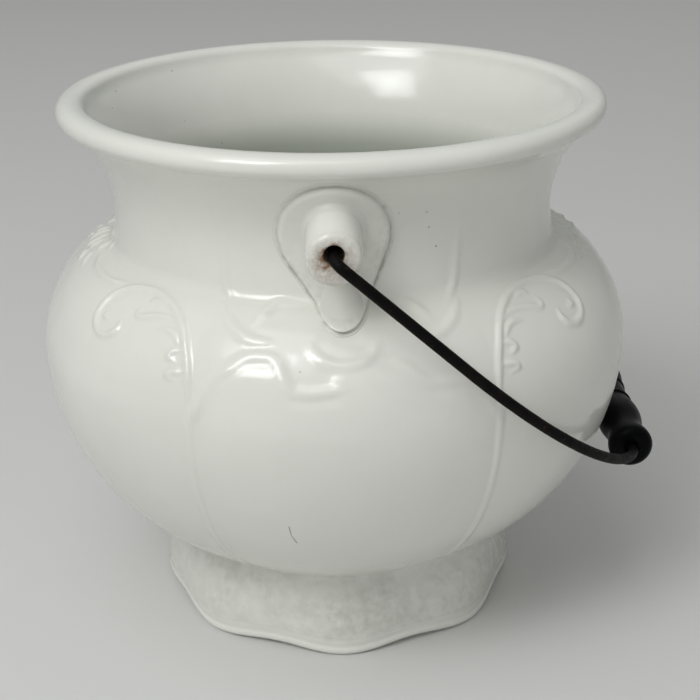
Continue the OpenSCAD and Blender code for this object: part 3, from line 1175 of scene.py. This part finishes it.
    def hollow(self, turns: np.ndarray, heights: Any) -> np.ndarray:
        """Works out how far the surface lies below a lobe's crest.

        Args:
            turns: Turns of the points.
            heights: Their heights, or one for all.

        Returns:
            The depths.
        """
        valleys = self.valleys()
        half = self.lobe_turn / 2
        wrapped = (np.asarray(turns, float) - self.twist + half) % 360.0 - half
        lobe = np.clip(np.searchsorted(valleys, wrapped, side="right") - 1, 0, len(valleys) - 2)
        middle = (valleys[lobe] + valleys[lobe + 1]) / 2
        share = (wrapped - middle) / ((valleys[lobe + 1] - valleys[lobe]) / 2)
        return self.valley_depth * swelling(heights, self.foot_h, self.belly_top_z) * share**2

    def on_surface(self, turns: np.ndarray, heights: np.ndarray) -> np.ndarray:
        """Lifts a line onto the jar's outside.

        Args:
            turns: Turns of its points.
            heights: Their heights.

        Returns:
            The line's points.
        """
        section = self.outside()
        radii = np.interp(heights, section[:, 1], section[:, 0])
        return round_points(turns, radii - self.hollow(turns, heights), heights)

    def stain(self, height: float) -> float:
        """Works out how strongly shade is painted into the bowl.

        Args:
            height: A height inside the bowl.

        Returns:
            The painted shade's share, from 0 to 1.
        """
        full_z = self.stain_top_z - self.stain_fade
        shown = np.clip((self.stain_top_z - height) / self.stain_fade, 0.0, 1.0)
        return float(shown * np.interp(height, (self.floor_z, full_z), (self.stain_floor, 1.0)))

    def skin(self) -> Object:
        """Weaves the plain wall, closest where its moulding is finest.

        Returns:
            The new object.
        """
        belly, rim, inside = self.profile()
        parts = [np.linspace(a, b, n, endpoint=False) for a, b, n in self.spacing]
        half_round = np.concatenate(parts)
        turns = np.concatenate((half_round, half_round + 180.0)) + self.twist
        coarse = turns[::2]
        rings = Rings(("outer", "inside"))
        rings.add(np.array([[0.0, 0.0, self.foot_h]]))
        for radius in self.base_rings:
            rings.add(round_points(coarse, radius, self.foot_h))
        for radius, height in np.vstack((belly[0].points()[:1], onward(belly))):
            drawn_in = radius - self.hollow(turns, height)
            rings.add(round_points(turns, drawn_in, height), outer=1.0)
        for arcs, outer in ((rim[:1], 1.0), (rim[1:], 0.0)):
            for radius, height in onward(arcs):
                rings.add(round_points(coarse, radius, height), outer=outer)
        # The inside carries painted shade, strongest under the neck and lighter towards the floor.
        for radius, height in onward(inside):
            rings.add(round_points(coarse, radius, height), inside=self.stain(height))
        floor = round_points(coarse, self.floor_ring, self.floor_z)
        for points in (floor, np.array([[0.0, 0.0, self.floor_z]])):
            rings.add(points, inside=self.stain_floor)
        return rings.weave("jar_body_glazed")

    def guides(self) -> list[Guide]:
        """Draws the belly's and neck's mouldings.

        Returns:
            The guide lines of each kind of moulding.
        """
        kinds = (Line.PANEL, Line.RIB, Line.CORD, Line.LEAF, Line.SWELL, Line.CREASE)
        guides = {line: Guide(line) for line in kinds}
        half = self.lobe_turn / 2

        def draw(kind: Line, stroke: Stroke, start: float, way: float, **look: float) -> None:
            """Draws one stroke.

            Args:
                kind: The kind of moulding.
                stroke: The stroke.
                start: Where its turns count from.
                way: Which way round they count, 1 or -1.
                look: Its share and taper, where they aren't the usual ones.
            """
            curve = flowing(stroke)
            points = self.on_surface(start + way * curve[:, 0], curve[:, 1])
            guides[kind].draw(points, **look)

        heights = np.linspace(self.rib_low_z, self.rib_high_z, self.rib_points)
        for valley in self.valleys()[1:] + self.twist:
            guides[Line.RIB].draw(self.on_surface(np.full_like(heights, valley), heights))
        scrolls = ((half, 1.0), (180.0 - half, -1.0), (180.0 + half, 1.0), (360.0 - half, -1.0))
        for valley, way in scrolls:
            draw(Line.CORD, self.scroll, valley + self.twist, way)
            for leaf in self.leaves:
                draw(Line.LEAF, leaf, valley + self.twist, way)
        for valley in (90.0, 270.0):
            for way in (1.0, -1.0):
                for leaf in self.sprig:
                    draw(Line.LEAF, leaf, valley + self.twist, way)
        arches = ((self.left_arch, -1.0, 1.0), (self.right_arch, 1.0, self.right_share))
        for middle in (self.twist, 180.0 + self.twist):
            for arch, way, share in arches:
                draw(Line.SWELL, arch, middle, way, share=share, taper=self.arch_taper)
                draw(Line.CREASE, self.neck_crease, middle, way)
                for swell in self.swells:
                    draw(Line.SWELL, swell, middle, way, share=share)
                self.draw_panel(guides[Line.PANEL], arch, middle, way)
            draw(Line.SWELL, self.crescent, middle - self.twist, 1.0)
        return list(guides.values())

    def draw_panel(self, guide: Guide, arch: Stroke, middle: float, way: float) -> None:
        """Fills half of the pillow under an arch with close upright lines that fade downwards.

        Args:
            guide: The guide that gets the lines.
            arch: The arch over this half.
            middle: Turn of the pillow's middle.
            way: Which half is filled, 1 or -1.
        """
        curve = flowing(arch)
        order = np.argsort(curve[:, 0])
        low, span = self.panel_low_z, self.panel_full_z - self.panel_low_z
        for turn in np.arange(self.panel_lines) * self.panel_step:
            top = np.interp(turn, curve[order, 0], curve[order, 1]) - self.panel_inset
            heights = np.linspace(low - self.panel_start, max(top, low), self.panel_points)
            points = self.on_surface(np.full_like(heights, middle + way * turn), heights)
            guide.draw(points, share=np.clip((heights - low) / span, 0.0, 1.0))


@dataclass
class Foot(MouldedCeramic):
    """Scalloped foot ring with a rolled edge, worn foliage and the glaze that fills its join."""

    node: ClassVar[str] = "foot"
    jar: JarBody
    height: float = 39.5
    crest_r: float = 89.95
    edge_r: float = 2.4
    edge_top_a: float = 50.0
    side_centre: Point = (18.7, 4.0)
    side_r: float = 71.0
    side_low_z: float = 6.0
    side_fade: float = 4.0
    inner_r: float = 70.05
    inner_rows: int = 8
    standing_r: float = 77.0
    join_r: float = 4.5
    join_overlap: float = 1.0
    join_end_a: float = 8.0
    scallops: int = 8
    notch_depth: float = 3.6
    notch_top_depth: float = 1.0
    notch_power: float = 1.9
    notch_lift: float = 2.2
    lift_low_z: float = 6.0
    lift_high_z: float = 26.0
    soil: float = 0.45
    columns: int = 720

    # Strokes of half of a scallop's foliage, whose turns count from its crest
    fan: tuple[Stroke, ...] = (
        ((0.5, 11), (0.8, 17), (0.2, 22)),
        ((3.4, 10.5), (5, 15), (6, 20), (8.2, 24)),
        ((7, 10), (10, 13), (12, 17.5), (15, 20)),
        ((3.2, 23.5), (1.6, 26.5), (3.6, 29.5), (6.2, 28)),
        ((10.5, 25), (12.2, 28.4), (15.4, 28.6), (16.2, 25.6)),
        ((19, 11.5), (20.6, 15), (19.4, 20), (21.4, 25), (20, 30)),
        ((13.6, 10.8), (16.4, 13.6)),
        ((8.4, 31), (11, 32)),
    )

    def section(self) -> np.ndarray:
        """Lays out the outside's section.

        Returns:
            Its points, from the standing ring up into the bowl's join.
        """
        roll = (self.crest_r - self.edge_r, self.edge_r)
        edge = Arc(roll, self.edge_r, -90.0, self.edge_top_a, rows=12).points()
        bowl_r = self.jar.belly_low_r
        bowl = (self.jar.belly_r - bowl_r, self.jar.belly_z)
        reaches = bowl_r + self.join_r, self.side_r + self.join_r
        join = meeting(bowl, reaches[0], self.side_centre, reaches[1], 1.0)
        side_top = angle_to(self.side_centre, join)
        side_rise = (self.side_low_z - self.side_centre[1]) / self.side_r
        side_low = math.degrees(math.asin(side_rise))
        side = Arc(self.side_centre, self.side_r, side_low, side_top, rows=26).points()
        join_end = angle_to(join, bowl) - self.join_end_a
        fill = Arc(join, self.join_r, side_top + 180.0, join_end, rows=9).points()
        return np.vstack((edge, side, fill[1:]))

    def between(self, turns: np.ndarray) -> np.ndarray:
        """Returns 0 on a scallop's crest, 1 in the notch between two and a share elsewhere."""
        wave = np.sin(np.radians((turns - self.jar.twist) * self.scallops / 2))
        return np.abs(wave) ** self.notch_power

    def notch(self, turns: np.ndarray, heights: Any) -> np.ndarray:
        """Works out how far the outside is drawn in.

        Args:
            turns: Turns of the points.
            heights: Their heights, or one for all.

        Returns:
            The depths.
        """
        up = np.minimum(heights / self.height, 1.0)
        depth = self.notch_depth + (self.notch_top_depth - self.notch_depth) * up
        return depth * self.between(turns)

    def lifted(self, turns: np.ndarray, heights: Any) -> np.ndarray:
        """Returns heights, raised in the notches near the standing ring."""
        share = (self.lift_high_z - heights) / (self.lift_high_z - self.lift_low_z)
        return heights + self.notch_lift * np.clip(share, 0.0, 1.0) * self.between(turns)

    def skin(self) -> Object:
        """Weaves the plain foot ring.

        Returns:
            The new object.
        """
        turns = np.arange(self.columns) * 360.0 / self.columns
        rings = Rings(("outer", "soil"))
        for radius, height in self.section():
            side = float(np.clip((height - self.side_low_z) / self.side_fade, 0.0, 1.0))
            drawn_in, raised = radius - self.notch(turns, height), self.lifted(turns, height)
            rings.add(round_points(turns, drawn_in, raised), outer=side, soil=self.soil * side)
        for height in np.linspace(self.height + self.join_overlap, 0.0, self.inner_rows):
            rings.add(round_points(turns, self.inner_r, height))
        rings.add(round_points(turns, self.standing_r, 0.0))
        return rings.weave("foot_glazed", closed=True)

    def on_surface(self, turns: np.ndarray, heights: np.ndarray) -> np.ndarray:
        """Lifts a line onto the foot's outside.

        Args:
            turns: Turns of its points.
            heights: Their heights.

        Returns:
            The line's points.
        """
        section = self.section()
        radii = np.interp(heights, section[:, 1], section[:, 0]) - self.notch(turns, heights)
        return round_points(turns, radii, self.lifted(turns, heights))

    def guides(self) -> list[Guide]:
        """Draws the foliage on every scallop.

        Returns:
            The guide lines of the foliage.
        """
        guide = Guide(Line.FOLIAGE)
        for scallop in range(self.scallops):
            middle = self.jar.twist + scallop * 360.0 / self.scallops
            for stroke in self.fan:
                curve = flowing(stroke)
                for mirror in (1, -1):
                    guide.draw(self.on_surface(middle + mirror * curve[:, 0], curve[:, 1]))
        return [guide]


@dataclass
class Lug:
    """Teardrop plate and boss, stuck to the neck, with a blind hole for the bail's hook.

    It is woven in rings about the boss's axis, each at a radius and at a depth in front of the
    jar's axis. A droop sets a ring that far below the boss's axis.
    """

    side: Side
    jar: JarBody
    columns: int = 240

    # Plate, with an edge that is softer and lower at the top
    plate_r: float = 22.9
    tip_r: float = 11.0
    drop: float = 36.8
    lean: float = 7.0
    thickness: float = 4.4
    soft_edge: float = 2.0
    soft_top: float = 2.4
    edge_h: float = 2.4
    edge_top_loss: float = 0.85
    back_inset: float = 3.5

    # Glaze that gathers round the plate, and the grey on the plate and in that glaze, least at the
    # top, partly grime and partly painted shade
    glaze_h: float = 1.1
    glaze_w: float = 2.2
    glaze_top_loss: float = 0.8
    glaze_root: float = 2.0
    glaze_shares: tuple[float, ...] = (0.08, 0.2, 0.36, 0.56, 0.78, 1.0)
    soil: float = 0.5
    edge_soil: float = 0.3
    glaze_soil: float = 2.4
    shelter: float = 0.95
    shelter_top_loss: float = 0.85

    # Boss and its blind hole, with rust that runs down to one side
    boss_z: float = 217.2
    boss_r: float = 11.3
    root_r: float = 11.5
    boss_tip: float = 132.45
    droop: float = 2.6
    root_lift: float = 2.4
    fillet: float = 2.6
    rounding: float = 2.6
    bore_r: float = 4.2
    bore_droop: float = 0.6
    bore_lip: float = 0.8
    bore_depth: float = 19.9
    lip_soil: float = 0.3
    stain_a: float = 225.0
    stain_even: float = 0.55
    stain_mouth: float = 0.95
    stain_rim: float = 0.35

    def __post_init__(self) -> None:
        """Lays out the columns of points, and what changes from one to the next."""
        self.angles = np.arange(self.columns) * 2 * np.pi / self.columns
        self.cosine, self.sine = np.cos(self.angles), np.sin(self.angles)
        high = np.maximum(self.sine, 0.0)
        runs = np.maximum(np.cos(self.angles - math.radians(self.stain_a)), 0.0)
        self.reach = self.plate_reach()
        self.stained = self.stain_even + (1.0 - self.stain_even) * runs
        self.soft = self.soft_edge + self.soft_top * high
        # Grey on the plate's sides and bottom and little at its top: partly grime, partly painted
        # shade.
        self.sheltered = self.shelter - self.shelter_top_loss * high
        self.edge = self.edge_h * (1.0 - self.edge_top_loss * high)
        self.glaze = self.glaze_h * (1.0 - self.glaze_top_loss * high)

    def plate_reach(self) -> np.ndarray:
        """Lays out the plate's teardrop.

        Returns:
            How far it reaches from the boss's axis in each column.
        """
        upright = self.angles - math.radians(self.lean)
        away = np.linspace(0.0, 1.0, 120)[:, None]
        centre = (self.drop - self.tip_r) * away
        radius = self.plate_r + (self.tip_r - self.plate_r) * away
        inside = radius**2 - (centre * np.cos(upright)) ** 2
        far = -centre * np.sin(upright) + np.sqrt(np.maximum(inside, 0.0))
        return np.where(inside >= 0.0, far, 0.0).max(0)

    def place(self, across: np.ndarray, depth: np.ndarray, heights: np.ndarray) -> np.ndarray:
        """Returns points of the lug on its own side of the jar."""
        turned = self.side.value
        return np.column_stack((turned * across, -turned * depth, heights))

    def ring(self, radius: Any, depth: Any, droop: float = 0.0) -> np.ndarray:
        """Returns the points of a ring."""
        depths = np.broadcast_to(depth, self.angles.shape)
        return self.place(radius * self.cosine, depths, self.boss_z - droop + radius * self.sine)

    def pole(self, depth: float) -> np.ndarray:
        """Returns a point on the boss's axis."""
        return self.place(np.zeros(1), np.full(1, depth), np.full(1, self.boss_z))

    def neck(self, radius: np.ndarray, droop: float = 0.0) -> np.ndarray:
        """Finds the neck's surface behind a ring.

        Args:
            radius: The ring's radius in each column.
            droop: How far the ring sits below the boss's axis.

        Returns:
            The depth in each column.
        """
        section = self.jar.outside()
        heights = self.boss_z - droop + radius * self.sine
        radii = np.interp(heights, section[:, 1], section[:, 0])
        return np.sqrt(radii**2 - (radius * self.cosine) ** 2)

    def face(self, radius: np.ndarray, droop: float = 0.0) -> np.ndarray:
        """Finds the plate's face behind a ring.

        Args:
            radius: The ring's radius in each column.
            droop: How far the ring sits below the boss's axis.

        Returns:
            The depth in each column.
        """
        rim = np.clip((self.reach - radius) / self.soft, 0.0, 1.0)
        rise = (self.thickness - self.edge) * np.sqrt(1.0 - (1.0 - rim) ** 2)
        return self.neck(radius, droop) + self.edge + rise

    def add_hole(self, rings: Rings) -> None:
        """Adds the blind hole, from its bottom to its rounded mouth.

        Args:
            rings: The lug's rings.
        """
        bottom, lip = self.boss_tip - self.bore_depth, self.bore_lip
        rings.add(self.pole(bottom), stain=1.0, soil=1.0)
        for depth in np.linspace(bottom, self.boss_tip - lip, 10):
            rings.add(self.ring(self.bore_r, depth, self.bore_droop), stain=1.0, soil=1.0)
        for turn in np.radians((22.5, 45.0, 67.5, 90.0)):
            radius = self.bore_r + lip * (1 - math.cos(turn))
            depth = self.boss_tip - lip * (1 - math.sin(turn))
            stain = 0.5 + 0.5 * self.stained
            rings.add(self.ring(radius, depth, self.bore_droop), stain=stain, soil=self.lip_soil)

    def add_boss(self, rings: Rings) -> None:
        """Adds the boss's face and rounded edge, and its side down to the fillet on the plate.

        Args:
            rings: The lug's rings.
        """
        tip, root = self.boss_tip, self.root_r + self.fillet
        mouth_r, face_r = self.bore_r + self.bore_lip, self.boss_r - self.rounding
        for t in np.linspace(0.2, 1.0, 5):
            droop = self.bore_droop + (self.droop - self.bore_droop) * t
            stain = self.stain_mouth + (self.stain_rim - self.stain_mouth) * t
            points = self.ring(mouth_r + (face_r - mouth_r) * t, tip, droop)
            rings.add(points, stain=stain * self.stained)
        for turn in np.radians(np.linspace(11.0, 90.0, 8)):
            radius = face_r + self.rounding * math.sin(turn)
            depth = tip - self.rounding * (1 - math.cos(turn))
            stain = self.stain_rim * math.cos(turn) * self.stained
            rings.add(self.ring(radius, depth, self.droop), stain=stain)
        lift = -self.root_lift
        start, seat = tip - self.rounding, self.face(np.full(self.columns, root), lift)
        for t in np.linspace(0.1, 0.9, 9):
            radius = self.boss_r + (self.root_r - self.boss_r) * t
            depth = start + (seat + self.fillet - start) * t
            rings.add(self.ring(radius, depth, self.droop + (lift - self.droop) * t))
        # The fillet onto the plate, whose grey is partly grime and partly painted shade.
        for turn in np.radians(np.linspace(0.0, 90.0, 9)):
            radius = self.root_r + self.fillet * (1 - math.cos(turn))
            depth = seat + self.fillet * (1 - math.sin(turn))
            rings.add(self.ring(radius, depth, lift), soil=self.soil * turn / math.pi)

    def add_plate(self, rings: Rings) -> None:
        """Adds the plate's face and edge, the glaze round it, and a back inside the neck.

        Args:
            rings: The lug's rings.
        """
        root = np.full(self.columns, self.root_r + self.fillet)
        for t in np.linspace(0.03, 1.0, 40):
            share = 1.0 - (1.0 - t) ** 2
            radius, droop = root + (self.reach - root) * share, -self.root_lift * (1.0 - share)
            # Grey on the plate's face, partly grime and partly painted shade of the boss.
            soil = self.soil * (0.5 + 0.5 * t) * self.sheltered
            rings.add(self.ring(radius, self.face(radius, droop), droop), soil=soil)
        for t in np.linspace(0.0, 1.0, 4)[1:]:
            depth = self.neck(self.reach) + self.edge + (self.glaze - self.edge) * t
            # Grey on the plate's edge, partly grime and partly painted shade.
            soil = (self.soil + self.edge_soil * t) * self.sheltered
            rings.add(self.ring(self.reach, depth), soil=soil)
        for t in self.glaze_shares:
            radius = self.reach + self.glaze_w * t
            height = self.glaze * (1.0 - math.sqrt(1.0 - (1.0 - t) ** 2))
            # Dark outline in the glaze round the plate, partly grime and partly painted shade.
            soil = self.glaze_soil * (1.0 - t) * self.sheltered
            rings.add(self.ring(radius, self.neck(radius) + height), soil=soil)
        outline = self.reach + self.glaze_w
        rings.add(self.ring(outline, self.neck(outline) - self.glaze_root))
        rings.add(self.pole(self.jar.neck_r - self.back_inset))

    def build(self, finish: Material) -> Object:
        """Builds the lug and puts it in place of its solid.

        Args:
            finish: The glaze.

        Returns:
            The finished piece.
        """
        node = f"lug_{self.side.name.lower()}"
        rings = Rings(("stain", "soil"))
        self.add_hole(rings)
        self.add_boss(rings)
        self.add_plate(rings)
        piece = rings.weave(f"{node}_glazed")
        piece.data.flip_normals()
        piece.data.materials.append(finish)
        return settle(piece, Body.JAR, node)


@dataclass
class Bail:
    """Wire bail and its turned grip, laid out flat and then swung to where they hang."""

    # Wire, and where it hangs
    hinge_z: float = 215.65
    rest_angle: float = 41.4719
    wire_r: float = 2.4
    wire_columns: int = 28
    unevenness: float = 0.16
    hook_end: float = 114.5
    hook_r: float = 4.6
    leg: float = 137.4
    leg_end: float = 69.8653
    bow_r: float = 127.632
    bow_turn: float = 66.5
    entry_r: float = 7.0
    reach: float = 187.5

    # Grip
    grip_l: float = 113.0
    middle_r: float = 8.68
    middle_l: float = 15.0
    bead_r: float = 9.48
    bead_w: float = 2.6
    swell_r: float = 10.48
    swell_at: float = 25.3
    waist_r: float = 8.78
    waist_at: float = 40.5
    knob_r: float = 10.48
    knob_edge: float = 4.5
    bore_r: float = 2.6
    bore_flare: float = 0.5
    bore_lip: float = 0.6
    bore_shown: float = 12.0
    columns: int = 96

    def laid(self, flat: np.ndarray) -> np.ndarray:
        """Swings points from the bail's flat plane to where it hangs.

        Args:
            flat: The points by their reach, side and distance off the plane.

        Returns:
            The points as they hang.
        """
        angle = math.radians(self.rest_angle)
        along, off = flat[:, 0], flat[:, 2]
        x = along * math.cos(angle) + off * math.sin(angle)
        z = self.hinge_z - along * math.sin(angle) + off * math.cos(angle)
        return np.column_stack((x, flat[:, 1], z))

    def half_path(self) -> np.ndarray:
        """Lays out half of the wire's path in the bail's flat plane.

        Returns:
            Its points, from the front hook to the middle of the grip.
        """
        end_a = self.bow_turn - 90.0
        inward = np.array((math.cos(math.radians(end_a)), math.sin(math.radians(end_a))))
        hook_centre = (self.hook_r, self.hook_r - self.leg)
        bow_centre = (self.leg_end, self.bow_r - self.leg)
        entry_centre = tuple(np.array(bow_centre) + (self.bow_r - self.entry_r) * inward)
        hook = Arc(hook_centre, self.hook_r, 180.0, 270.0, rows=12).points()
        bow = Arc(bow_centre, self.bow_r, -90.0, end_a, rows=60).points()
        entry = Arc(entry_centre, self.entry_r, end_a, 0.0, rows=12).points()
        start = np.linspace((0.0, -self.hook_end), (0.0, hook[0, 1]), 7)
        leg = np.linspace((self.hook_r, -self.leg), (self.leg_end, -self.leg), 30)
        run = np.linspace((self.reach, entry[-1, 1]), (self.reach, 0.0), 11)
        return np.vstack((start[:-1], hook, leg[1:-1], bow, entry[1:], run[1:]))

    def build_wire(self, tree: Tree, finish: Material) -> Object:
        """Sweeps the wire and puts it in place of its solid.

        Args:
            tree: The wire's Geometry Nodes tree.
            finish: The iron.

        Returns:
            The finished piece.
        """
        half = self.half_path()
        path = np.vstack((half, half[-2::-1] * (1, -1)))
        points = self.laid(np.column_stack((path, np.zeros(len(path))))) * MM
        curve = bpy.data.curves.new("bail_path", "CURVE")
        curve.dimensions = "3D"
        spline = curve.splines.new("POLY")
        spline.points.add(len(points) - 1)
        spline.points.foreach_set("co", np.column_stack((points, np.ones(len(points)))).ravel())
        carrier = linked("bail_path", curve)
        values = {"Radius": self.wire_r * MM, "Steps": self.wire_columns}
        values |= {"Unevenness": self.unevenness * MM, "Material": finish}
        node_modifier(carrier, tree, values)
        mesh = evaluated_mesh(carrier)
        bpy.data.objects.remove(carrier)
        return settle(linked("bail_wire_iron", mesh), Body.BAIL, "bail_wire")

    def grip_section(self) -> np.ndarray:
        """Lays out half of the grip's section.

        Returns:
            Its radii and distances from the middle, out to the end and into the bore.
        """
        half, bead = self.grip_l / 2, self.middle_l / 2
        neck, knob = bead + self.bead_w, half - self.knob_edge
        t = np.linspace(0.0, 1.0, 17)
        ease = (1 - np.cos(np.pi * t)) / 2

        def stretch(
            low_r: float, high_r: float, rise: np.ndarray, at: float, to: float
        ) -> np.ndarray:
            """Returns a stretch whose radius follows a rise, without its first point."""
            return np.column_stack((low_r + (high_r - low_r) * rise, at + (to - at) * t))[1:]

        middle = np.linspace((self.middle_r, 0.0), (self.middle_r, bead), 5)
        ring = stretch(self.middle_r, self.bead_r, np.sin(np.pi * t), bead, neck)
        swell = stretch(self.middle_r, self.swell_r, np.sin(np.pi * t / 2), neck, self.swell_at)
        waist = stretch(self.swell_r, self.waist_r, ease, self.swell_at, self.waist_at)
        bulb = stretch(self.waist_r, self.knob_r, ease, self.waist_at, knob)
        edge_centre = (self.knob_r - self.knob_edge, knob)
        edge = Arc(edge_centre, self.knob_edge, 0.0, 90.0, rows=12).points()
        mouth = [
            (self.bore_r + self.bore_flare, half),
            (self.bore_r, half - self.bore_lip),
            (self.bore_r, half - self.bore_shown),
        ]
        return np.vstack((middle, ring, swell, waist, bulb, edge[1:], mouth))

    def build_grip(self, finish: Material) -> Object:
        """Turns the grip and puts it in place of its solid.

        Args:
            finish: The paint.

        Returns:
            The finished piece.
        """
        half = self.grip_section()
        angles = np.arange(self.columns) * 2 * np.pi / self.columns
        rings = Rings(("wear",))
        for radius, side in np.vstack((half[::-1] * (1, -1), half[1:])):
            along, off = self.reach + radius * np.cos(angles), -radius * np.sin(angles)
            wear = np.clip((radius - self.waist_r) / (self.swell_r - self.waist_r), 0.0, 1.0)
            flat = np.column_stack((along, np.full(self.columns, side), off))
            rings.add(self.laid(flat), wear=wear)
        piece = rings.weave("grip_painted", closed=True)
        piece.data.materials.append(finish)
        return settle(piece, Body.GRIP, "grip")


@dataclass(frozen=True)
class Lamp:
    """One soft rectangular lamp.

    Args:
        name: Name of the lamp.
        place: Where it hangs, in metres.
        size: Its width and height, in metres.
        power: Its power in watts.
        mirrored: Whether the glaze shows its reflection.
    """

    name: str
    place: Place
    size: Point
    power: float
    mirrored: bool = True

    def hang(self, aim: Place) -> None:
        """Hangs the lamp so that it faces a point.

        Args:
            aim: The point, in metres.
        """
        lamp = bpy.data.lights.new(self.name, "AREA")
        lamp.shape = "RECTANGLE"
        lamp.size, lamp.size_y = self.size
        lamp.energy = self.power
        holder = linked(self.name, lamp)
        holder.visible_glossy = self.mirrored
        holder.location = self.place
        facing = Vector(aim) - Vector(self.place)
        holder.rotation_euler = facing.to_track_quat("-Z", "Y").to_euler()


@dataclass
class Studio:
    """Pale floor, soft light and the camera at the photograph's angle."""

    eye: Place = (-0.385, -636.4, 390.8)
    pitch: float = 22.99
    yaw: float = 0.70
    roll: float = -0.60
    lens: float = 70.54
    sensor: float = 36.0
    floor_size: float = 14.0
    floor_drop: float = 5e-5
    floor_colour: Colour = (0.66, 0.66, 0.65, 1.0)
    floor_roughness: float = 0.9
    room_low: float = 0.32
    room_high: float = 0.38
    room_from: float = 0.3
    room_to: float = 0.95
    aim: Place = (0.0, 0.0, 0.15)
    lamps: tuple[Lamp, ...] = (
        Lamp("window", (-1.0, -1.2, 1.7), (0.8, 1.0), 15.5),
        Lamp("pane", (-0.95, -1.14, 1.62), (0.32, 0.42), 1.3),
        Lamp("high", (-0.6, -0.8, 2.2), (1.6, 1.6), 12.0),
        Lamp("front", (0.0, -2.2, 1.0), (0.8, 0.8), 5.5, mirrored=False),
        Lamp("back", (0.0, 2.0, 1.3), (2.6, 1.2), 1.5),
    )

    def build_floor(self) -> None:
        """Lays a plain pale floor just under the jar."""
        half, z = self.floor_size / 2, -self.floor_drop
        corners = [(-half, -half, z), (half, -half, z), (half, half, z), (-half, half, z)]
        mesh = bpy.data.meshes.new("floor")
        mesh.from_pydata(corners, [], [(0, 1, 2, 3)])
        material, graph, surface = new_material("pale_floor")
        graph.feed(surface, "Base Color", self.floor_colour)
        graph.feed(surface, "Roughness", self.floor_roughness)
        mesh.materials.append(material)
        linked("floor", mesh)

    def build_light(self) -> None:
        """Lights the jar with a room that is brighter overhead, and soft lamps."""
        world = bpy.data.worlds.new("room")
        bpy.context.scene.world = world
        world.use_nodes = True
        graph = Graph(world.node_tree)
        background = world.node_tree.nodes["Background"]
        way = graph.add("ShaderNodeTexCoord").outputs["Generated"]
        height = graph.add("ShaderNodeSeparateXYZ", {0: way}).outputs["Z"]
        levels = (self.room_from, self.room_to, self.room_low, self.room_high)
        graph.feed(background, "Strength", graph.remap(height, *levels))
        graph.feed(background, "Color", (1.0, 1.0, 1.0, 1.0))
        for lamp in self.lamps:
            lamp.hang(self.aim)

    def build_camera(self) -> None:
        """Puts the camera where the photograph was taken from."""
        pitch, yaw, roll = (math.radians(a) for a in (self.pitch, self.yaw, self.roll))
        level_ahead = Vector((math.sin(yaw), math.cos(yaw), 0.0))
        ahead = math.cos(pitch) * level_ahead - Vector((0.0, 0.0, math.sin(pitch)))
        right = Vector((math.cos(yaw), -math.sin(yaw), 0.0))
        above = right.cross(ahead)
        level = math.cos(roll) * right + math.sin(roll) * above
        upright = -math.sin(roll) * right + math.cos(roll) * above
        camera = bpy.data.cameras.new("camera")
        camera.sensor_width = self.sensor
        camera.lens = self.lens
        camera.clip_start, camera.clip_end = 0.01, 50.0
        holder = linked("camera", camera)
        turned = Matrix((level, upright, -ahead)).transposed().to_4x4()
        holder.matrix_world = Matrix.Translation(Vector(self.eye) * MM) @ turned
        bpy.context.scene.camera = holder

    def build(self) -> None:
        """Sets the stage round the jar."""
        self.build_floor()
        self.build_light()
        self.build_camera()
        bpy.context.scene.view_settings.view_transform = "Standard"


def main() -> None:
    """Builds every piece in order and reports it."""
    logging.basicConfig(level=logging.INFO, format="%(name)s: %(message)s")
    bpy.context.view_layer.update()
    effects = Effects(mottling_group(), specks_group())
    glaze = CeramicGlaze().material(effects)
    raised, swept = moulding_tree(), wire_tree()
    jar, bail = JarBody(), Bail()
    pieces = [jar.build(raised, glaze), Foot(jar).build(raised, glaze)]
    pieces += [Lug(side, jar).build(glaze) for side in Side]
    pieces.append(bail.build_wire(swept, OxidisedIron().material(effects)))
    pieces.append(bail.build_grip(BlackPaint().material(effects)))
    for piece in pieces:
        piece.data.calc_loop_triangles()
        log.info("%s: %d triangles", piece.name, len(piece.data.loop_triangles))
    Studio().build()


if __name__ == "__main__":
    main()
